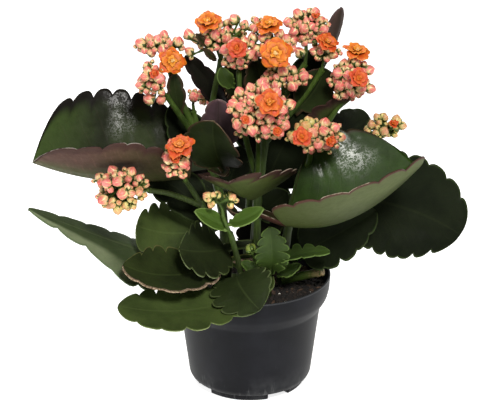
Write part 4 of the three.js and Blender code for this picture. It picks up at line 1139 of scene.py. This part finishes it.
def budShape():
    sides = bud["sides"]
    points, faces, uses = [], [], []
    rows = bud["profile"]
    for z, r in rows:
        for i in range(sides):
            a = 2 * math.pi * i / sides
            points.append(onRing(r * (1 + bud["lobes"] * math.cos(4 * a)), a, z))
            uses.append((z / bud["tip"], i / sides, 0.0))
    for k in range(len(rows) - 1):
        faces += [(k * sides + i, k * sides + (i + 1) % sides, (k + 1) * sides + (i + 1) % sides,
                   (k + 1) * sides + i) for i in range(sides)]
    points += [(0, 0, rows[0][0]), (0, 0, bud["tip"])]
    uses += [(0.0, 0.0, 0.0), (1.0, 0.0, 0.0)]
    low, high, top = len(points) - 2, len(points) - 1, (len(rows) - 1) * sides
    for i in range(sides):
        j = (i + 1) % sides
        faces += [(low, j, i), (high, top + i, top + j)]
    for k in range(bud["sepals"]):
        out = Vector(onRing(1, 2 * math.pi * (k + 0.5) / bud["sepals"]))
        over = Vector((-out.y, out.x, 0))
        first = len(points)
        points += [out * x + over * y + Vector((0, 0, z)) for x, y, z in bud["sepal"]]
        uses += [(0.1, 0.0, 1.0)] * 6
        a0, a1, b1, t, b0, inner = range(first, first + 6)
        faces += [(a0, a1, b1, b0), (b0, b1, t), (a1, a0, inner), (b1, a1, inner), (t, b1, inner),
                  (b0, t, inner), (a0, b0, inner)]
    return meshOf("budShape", [Vector(p) / mm for p in points], faces, {"budMap": uses})


def budFinish():
    finish, graph, here = newFinish("budSkin")
    up, around, green = graph.split(graph.attribute("budMap"))
    tint = graph.attribute("tint", "Fac")
    pale = graph.attribute("pale", "Fac")
    spotted = graph.noise(here, 420, 3, 0.6)
    # four overlapping petals wind round the bud, with a cream edge each
    wind = (around * 4 + up * 0.8 + tint * 3).math("FRACT")
    edge = 1 - graph.step(abs(wind - 0.5) + up * 0.26, 0.2, 0.32)
    pink = graph.mix(tint, "#c64a47", "#dc7870")
    # painted highlight: lighter pink spots scattered by noise
    pink = graph.mix(graph.step(spotted, 0.4, 0.7) * 0.4, pink, "#eba498")
    cream = graph.mix(graph.step(spotted, 0.3, 0.7), "#f4e0ac", "#dcc47e")
    colour = graph.mix(edge * 0.95, pink, cream)
    waist = 1 - graph.step(up + (spotted - 0.5) * 0.3 + (tint - 0.5) * 0.3, 0.3, 0.75)
    colour = graph.mix(waist * 0.75, colour, cream)
    # towards its foot each bud turns dark olive: partly its own green, partly painted shade between the buds
    low = 1 - graph.step(up + (spotted - 0.5) * 0.2, 0.05, 0.34)
    colour = graph.mix(low * 0.9, colour, "#666b2a")
    colour = graph.mix(pale.math("MINIMUM", 1.0) * (0.4 + 0.5 * (1 - up)), colour, "#c4c168")
    colour = graph.mix(graph.step(pale, 1.2, 2.0) * 0.85, colour, "#6b8430")
    sepal = graph.mix(tint, "#2f4517", "#4c6426")
    colour = graph.mix(green, colour, sepal)
    closeFinish(graph, {
        "Base Color": colour,
        "Roughness": 0.34 + 0.12 * spotted,
    }, (edge * -0.5 + spotted * 0.3, 0.3, 0.0004), (0.08, (1.0, 0.45, 0.25), 0.0015))
    return finish


def unitVector(draw):
    z, a = draw.uniform(-1, 1), draw.uniform(0, 2 * math.pi)
    return Vector(onRing(math.sqrt(1 - z * z), a, z))


def underBloom(place, radius):
    for at, look, bloomRadius, *_ in bloomPlan.values():
        away = place - Vector(at)
        look = Vector(look).normalized()
        height = away.dot(look)
        if height > -2 and (away - look * height).length < bloomRadius * 0.7 + radius * 0.4:
            return True
    return False


# The small bunches on an envelope, each with its way out
def bunchHubs(draw, centre, radii, axis, cyme, limit, gap):
    hubs = []
    for _ in range(bud["cymeTries"]):
        way = unitVector(draw)
        out = Vector((way.x / radii.x, way.y / radii.y, way.z / radii.z)).normalized()
        shrink = cyme + draw.uniform(0.0, bud["shrink"])
        hub = centre + Vector((way.x * radii.x, way.y * radii.y, way.z * radii.z)) - out * shrink
        if way.dot(axis) > limit and all((hub - other).length > gap for other, _ in hubs):
            hubs.append((hub, (out * 0.85 + axis * 0.3).normalized()))
    return hubs


# Draws a head's buds: big ones first, smaller ones in the gaps between them.
def headBuds(head, leafTrees, seed):
    draw = random.Random(seed)
    axis = Vector(head["axis"]).normalized()
    paleSide = Vector(head.get("paleSide", (0, 0, 0)))
    limit = math.cos(math.radians(bud["reach"]))
    lower = math.cos(math.radians(bud["smallerFrom"]))
    buds = []
    lobes = [(head["centre"], head["radii"]), *head.get("sides", [])]
    for centre, radii in ((Vector(c), Vector(r)) for c, r in lobes):
        cyme = min(bud["cyme"], min(radii) * 0.75)
        hubs = bunchHubs(draw, centre, radii, axis, cyme, limit, head.get("gap", bud["cymeGap"]))
        for radius, tries, spread, sink in bud["sizes"]:
            cone = math.cos(math.radians(spread))
            for hub, lead in hubs * tries:
                way, wander = unitVector(draw), unitVector(draw)
                depth, size, tint, twist, blend = (draw.random() for _ in range(5))
                if way.dot(lead) < cone:
                    way = (way + lead * (cone - way.dot(lead)) * 1.6).normalized()
                girth = radius * lerp(*bud["vary"], size)
                aim = (way * 0.9 + lead * 0.25 + wander * 0.14).normalized()
                tip = hub + way * (cyme - depth * sink)
                middle = tip - aim * girth * bud["middleAt"]
                away = middle - centre
                if Vector((away.x / radii.x, away.y / radii.y, away.z / radii.z)).length > 1.0:
                    continue
                if radius > bud["largeFrom"] and away.normalized().dot(axis) < lower:
                    continue
                if tip.z > bud["ceiling"] or underBloom(middle, girth):
                    continue
                if any((other["middle"] - middle).length < (other["girth"] + girth) * bud["crowding"]
                       for other in buds):
                    continue
                if any((tree.find_nearest(middle)[3] or 99) < girth * 0.8 for tree in leafTrees):
                    continue
                pale = head.get("pale", 0.0)
                if paleSide.length:
                    pale = ease(away.normalized().dot(paleSide.normalized()), -0.1, 0.8)
                if pale <= 1:
                    pale = clamp(pale + (0.3 if radius < 2 else 0) + 0.3 * (blend - 0.5))
                buds.append({"at": tip - aim * girth * bud["tip"], "middle": middle, "girth": girth,
                             "size": girth * mm, "aim": tuple(aim), "twist": twist * 6.28, "tint": tint,
                             "pale": pale})
    return buds


# Green stalks from the fork through knots to the foot of every bud
def sprigLines(head, buds, seed):
    draw = random.Random(seed)
    lines = Lines()
    fork, centre = Vector(head["fork"]), Vector(head["centre"])
    knots = []
    for entry in buds:
        foot, aim = entry["at"], Vector(entry["aim"])
        spot = fork.lerp(centre.lerp(foot, sprig["knotAt"][0]), sprig["knotAt"][1])
        home = next((knot for knot in knots if (knot - spot).length < sprig["knotReach"]), None)
        if home is None:
            home = spot
            knots.append(home)
            mid = fork.lerp(home, 0.5) + unitVector(draw) * sprig["wander"]
            lines.add([fork, mid, home], sprig["girths"], [0.9, 0.9, 1.0])
        bend = home.lerp(foot, sprig["bend"][0]) + aim * sprig["bend"][1]
        thin = sprig["thin"][0] + sprig["thin"][1] * entry["girth"]
        lines.add([home, bend, foot, foot + aim * 0.6],
                  [thin, thin * 0.85, thin, entry["girth"] * sprig["foot"]], [0.9, 1.0, 1.0, 1.0])
    return lines


def makeHeads(leafTrees, stemTree):
    tree = scatterTree("budHeads", budFinish())
    shape = helper("budShape", budShape())

    def makeHead(budName, sprigName, head, seed, sprigSeed, *nodes):
        buds = headBuds(head, leafTrees, seed)
        entries = [{key: value for key, value in entry.items() if key not in ("middle", "girth")}
                   for entry in buds]
        deliver(grow(budName, pointCloud(budName, entries), tree, {"Shape": shape}), "bud", *nodes)
        lines = sprigLines(head, buds, sprigSeed).mesh(sprigName)
        deliver(grow(sprigName, lines, stemTree, {"Sides": sprig["sides"]}), "stem", *nodes)
        return len(buds)

    total = 0
    for i, (name, head) in enumerate(headPlan.items()):
        seed = bud["firstSeed"] + i * bud["seedStep"]
        total += makeHead("buds_" + name, "sprig_" + name, head, seed, seed + 1, "head_" + name)
    for i, (foot, centre, radii) in enumerate(tufts):
        head = headOf(foot, centre, radii, (0, -0.3, 1), pale=2.0)
        makeHead(f"tuft_{i}", f"tuft_stalks_{i}", head, bud["tuftSeed"] + i, i + 1)
    bpy.data.objects.remove(shape)
    print("buds:", total)


flower = {
    # petals, reach of the radius, extra lift in degrees, height, petal width of its length
    "whorls": [(5, 1.0, -8, 0.0, 0.96), (5, 0.82, 12, 0.08, 0.94), (5, 0.5, 34, 0.13, 0.8),
               (4, 0.36, 62, 0.15, 0.85), (3, 0.3, 84, 0.15, 1.1)],
    "petalWidths": [0.26, 0.5, 0.8, 0.98, 0.96, 0.66],  # from the foot to the tip
    "petalHalf": 0.014,  # half a petal's thickness
    "ruffle": 0.14,
    "closedLift": 58,
    "openLift": 12,
    "firstSeed": 5,
    "halfSeed": 40,
    "halfRed": 0.85,
    "neckLength": 8,
    "neckGirths": [1.1, 1.4, 2.0, 2.4],
    "halfOpen": [
        # place, look, radius
        ((-67, -32, 252), (-0.3, -0.8, 0.5), 5.2), ((-3, -62, 228), (-0.1, -0.9, 0.4), 4.8),
        ((19, -61, 219), (0.2, -0.9, 0.2), 5.4), ((56, -58, 211), (0.4, -0.8, 0.3), 6.0),
        ((105, 5, 203), (0.3, -0.7, 0.6), 5.4), ((47, 6, 284), (0, -0.4, 0.9), 5.2),
        ((-52, -66, 201), (0.1, -0.9, 0.4), 5.6)],
}


# A petal one unit long, from its foot at the origin out along y
def petalShape():
    widths = flower["petalWidths"]
    columns, rows = 7, len(widths)
    points, faces, uses = [], [], []
    for side in (1, -1):
        for j, width in enumerate(widths):
            v = j / (rows - 1)
            for i in range(columns):
                u = i / (columns - 1) * 2 - 1
                tipBack = 0.2 * abs(u) ** 2.5 * v ** 4 - 0.05 * v ** 6 * (1 - abs(u)) * 0.6
                ruffle = 0.055 * math.sin(u * 6.2 + 0.6) * v * v
                cup = 0.16 * u * u * (1 - 0.7 * v)
                bow = 0.13 * math.sin(math.pi * v * 0.85) - 0.1 * v ** 3
                height = cup * width + bow + ruffle + side * flower["petalHalf"]
                points.append((u * width * 0.5, v - tipBack, height))
                uses.append((v, abs(u), 0.5 + 0.5 * side))
    half = columns * rows
    for j in range(rows - 1):
        for i in range(columns - 1):
            a = j * columns + i
            faces.append((a, a + 1, a + columns + 1, a + columns))
            faces.append((half + a, half + a + columns, half + a + columns + 1, half + a + 1))
    rim = list(range(columns)) + [j * columns + columns - 1 for j in range(1, rows)]
    rim += [(rows - 1) * columns + i for i in reversed(range(columns - 1))]
    rim += [j * columns for j in reversed(range(1, rows - 1))]
    for a, b in zip(rim, rim[1:] + rim[:1]):
        faces.append((b, a, half + a, half + b))
    return meshOf("petalShape", [Vector(p) / mm for p in points], faces, {"petalMap": uses})


def petalFinish():
    finish, graph, here = newFinish("petal")
    v, u, side = graph.split(graph.attribute("petalMap"))
    whorl = graph.attribute("whorl", "Fac")
    red = graph.attribute("red", "Fac")
    spotted = graph.noise(here, 260, 3, 0.6)
    stripes = graph.noise(graph.join(u * 6, v * 0.5, whorl * 3), 3, 3, 0.5)
    orange = graph.mix(graph.step(spotted, 0.3, 0.7), "#c24a04", "#dc6c08")
    orange = graph.mix(red * 0.85, orange, "#c02c0e")
    heart = graph.mix(graph.step(whorl, 0.05, 0.6) * (1 - red * 0.6), orange, "#e6981a")
    heart = graph.mix(graph.step(whorl, 0.6, 0.85) * (1 - red), heart, "#f8e6ae")
    colour = graph.mix((1 - side) * 0.3, heart, "#a84c22")
    # painted shade: the foot of each outer petal darkens to deep red where the petals crowd together
    foot = (1 - graph.step(v, 0.15, 0.8)) * 0.85 * (1 - graph.step(whorl, 0.7, 0.95))
    colour = graph.mix(foot, colour, "#8a2a08")
    colour = graph.mix(graph.step(stripes, 0.4, 0.65) * 0.4, colour, "#a83409")
    tips = graph.step(u, 0.72, 1.0) * 0.25 + graph.step(v, 0.85, 1.0) * 0.4
    colour = graph.mix(tips * (1 - red * 0.8), colour, "#f0a424")
    closeFinish(graph, {
        "Base Color": colour,
        "Roughness": 0.5 + 0.1 * spotted,
    }, (stripes, 0.2, 0.0004), (0.06, (1.0, 0.4, 0.15), 0.001))
    return finish


def bloomTree(finish):
    tree, graph, given = newTree("bloom", [
        ("Petal", "Object", None), ("Radius", "Float", 0.01), ("Lift", "Float", 0.3),
        ("Red", "Float", 0.0), ("Seed", "Int", 1), ("Place", "Vector", None), ("Look", "Vector", None)])
    petal = graph.add("GeometryNodeObjectInfo", {}, {"Object": given.of("Petal")}, out="Geometry")
    index = graph.add("GeometryNodeInputIndex")

    def labelled(geometry, name, value):
        settings = {"data_type": "FLOAT", "domain": "INSTANCE"}
        sockets = {"Geometry": geometry, "Name": name, "Value": value}
        return graph.add("GeometryNodeStoreNamedAttribute", settings, sockets)

    whorls = []
    for k, (count, reach, extra, height, width) in enumerate(flower["whorls"]):
        def jitter(low, high, salt):
            sockets = {2: low, 3: high, "Seed": given.of("Seed") + salt * 7.0 + k * 31.0}
            return graph.add("FunctionNodeRandomValue", {"data_type": "FLOAT"}, sockets, out=1)

        points = graph.add("GeometryNodePoints", {}, {"Count": count, "Position": (0, 0, height)})
        turn = index * (2 * math.pi / count) + jitter(-0.14, 0.14, 1) + k * 0.55
        lift = (given.of("Lift") + math.radians(extra) + jitter(-0.12, 0.12, 2)).math("MINIMUM", 1.5)
        roll = jitter(-0.2, 0.2, 3)
        rotation = graph.add("FunctionNodeEulerToRotation", {}, {0: graph.join(lift, roll, turn)})
        size = graph.join(jitter(0.88, 1.08, 4) * (reach * width), jitter(0.88, 1.0, 5) * reach, reach)
        petals = graph.add("GeometryNodeInstanceOnPoints", {}, {
            "Points": points, "Instance": petal, "Rotation": rotation, "Scale": size})
        whorls.append(labelled(petals, "whorl", k / 4))
    joined = graph.add("GeometryNodeJoinGeometry")
    for petals in whorls:
        graph.tree.links.new(petals.socket, joined.socket.node.inputs[0])
    joined = labelled(joined, "red", given.of("Red"))
    solid = graph.add("GeometryNodeRealizeInstances", {}, {"Geometry": joined})
    # every petal gets its own waves, more towards its tip
    along = graph.split(graph.named("petalMap", "FLOAT_VECTOR"))[0]
    here = graph.add("GeometryNodeInputPosition")
    salt = graph.join(given.of("Seed") * 1.7, 0.0, 0.0)
    spot = graph.add("ShaderNodeVectorMath", {"operation": "ADD"}, {0: here, 1: salt})
    wave = graph.noise(spot, 3.2, 2.0).of("Color")
    wave = graph.add("ShaderNodeVectorMath", {"operation": "SUBTRACT"}, {0: wave, 1: (0.5, 0.5, 0.5)})
    wave = graph.add("ShaderNodeVectorMath", {"operation": "SCALE"},
                     {0: wave, "Scale": along * along * flower["ruffle"] * 2.0})
    solid = graph.add("GeometryNodeSetPosition", {}, {"Geometry": solid, "Offset": wave})
    up = graph.add("FunctionNodeAlignRotationToVector", {"axis": "Z"}, {"Vector": given.of("Look")})
    radius = given.of("Radius")
    placed = graph.add("GeometryNodeTransform", {}, {
        "Geometry": solid, "Translation": given.of("Place"), "Rotation": up, "Scale": radius})
    closeTree(graph, placed, finish)
    return tree


def makeBlooms(stemTree):
    tree = bloomTree(petalFinish())
    shape = helper("petalShape", petalShape())

    def bloomPiece(name, place, look, radius, lift, red, seed):
        return grow(name, meshOf(name, [(0, 0, 0)], []), tree, {
            "Petal": shape, "Radius": radius * mm, "Lift": math.radians(lift), "Red": red, "Seed": seed,
            "Place": tuple(place * mm), "Look": tuple(look)})

    for i, (name, (at, look, radius, share, red)) in enumerate(bloomPlan.items()):
        at, look, node = Vector(at), Vector(look).normalized(), "bloom_" + name
        lift = lerp(flower["closedLift"], flower["openLift"], share)
        petals = bloomPiece("petals_" + name, at, look, radius, lift, red, flower["firstSeed"] + i)
        deliver(petals, "bloom", node)
        neck = Lines()
        foot = at - look * flower["neckLength"]
        neck.add([foot, foot.lerp(at, 0.5), at - look * 1.2, at + look * 0.6], flower["neckGirths"], [1] * 4)
        deliver(grow("neck_" + name, neck.mesh("neck"), stemTree, {"Sides": 8}), "stem", node)
    for i, (place, look, radius) in enumerate(flower["halfOpen"]):
        look = Vector(look).normalized()
        piece = bloomPiece(f"half_open_{i}", Vector(place) - look * radius * 0.6, look, radius,
                           flower["closedLift"], flower["halfRed"], flower["halfSeed"] + i)
        deliver(piece, "bloom")
    bpy.data.objects.remove(shape)
    print("blooms:", len(bloomPlan) + len(flower["halfOpen"]))


def makeFloor():
    finish, graph, here = newFinish("floorPaint")
    cloud = graph.noise(here, 3, 2)
    colour = graph.mix(cloud * 0.2, studio["floor"], studio["floorCloud"])
    closeFinish(graph, {
        "Base Color": colour,
        "Roughness": 0.9,
        "Specular IOR Level": 0.1,
        "Emission Color": (1, 1, 1, 1),
        "Emission Strength": studio["floorGlow"],
    })
    reach = studio["floorReach"]
    corners = [(x * reach, y * reach, -studio["floorDrop"]) for x, y in ((-1, -1), (1, -1), (1, 1), (-1, 1))]
    floor = pieceOf("floor", meshOf("floor", corners, [(0, 1, 2, 3)]), finish)


makeStudio()
makeFloor()
makePot()
makeSoil()
leafTrees = makeLeaves()
stemTree = makeStems()
makeHeads(leafTrees, stemTree)
makeBlooms(stemTree)
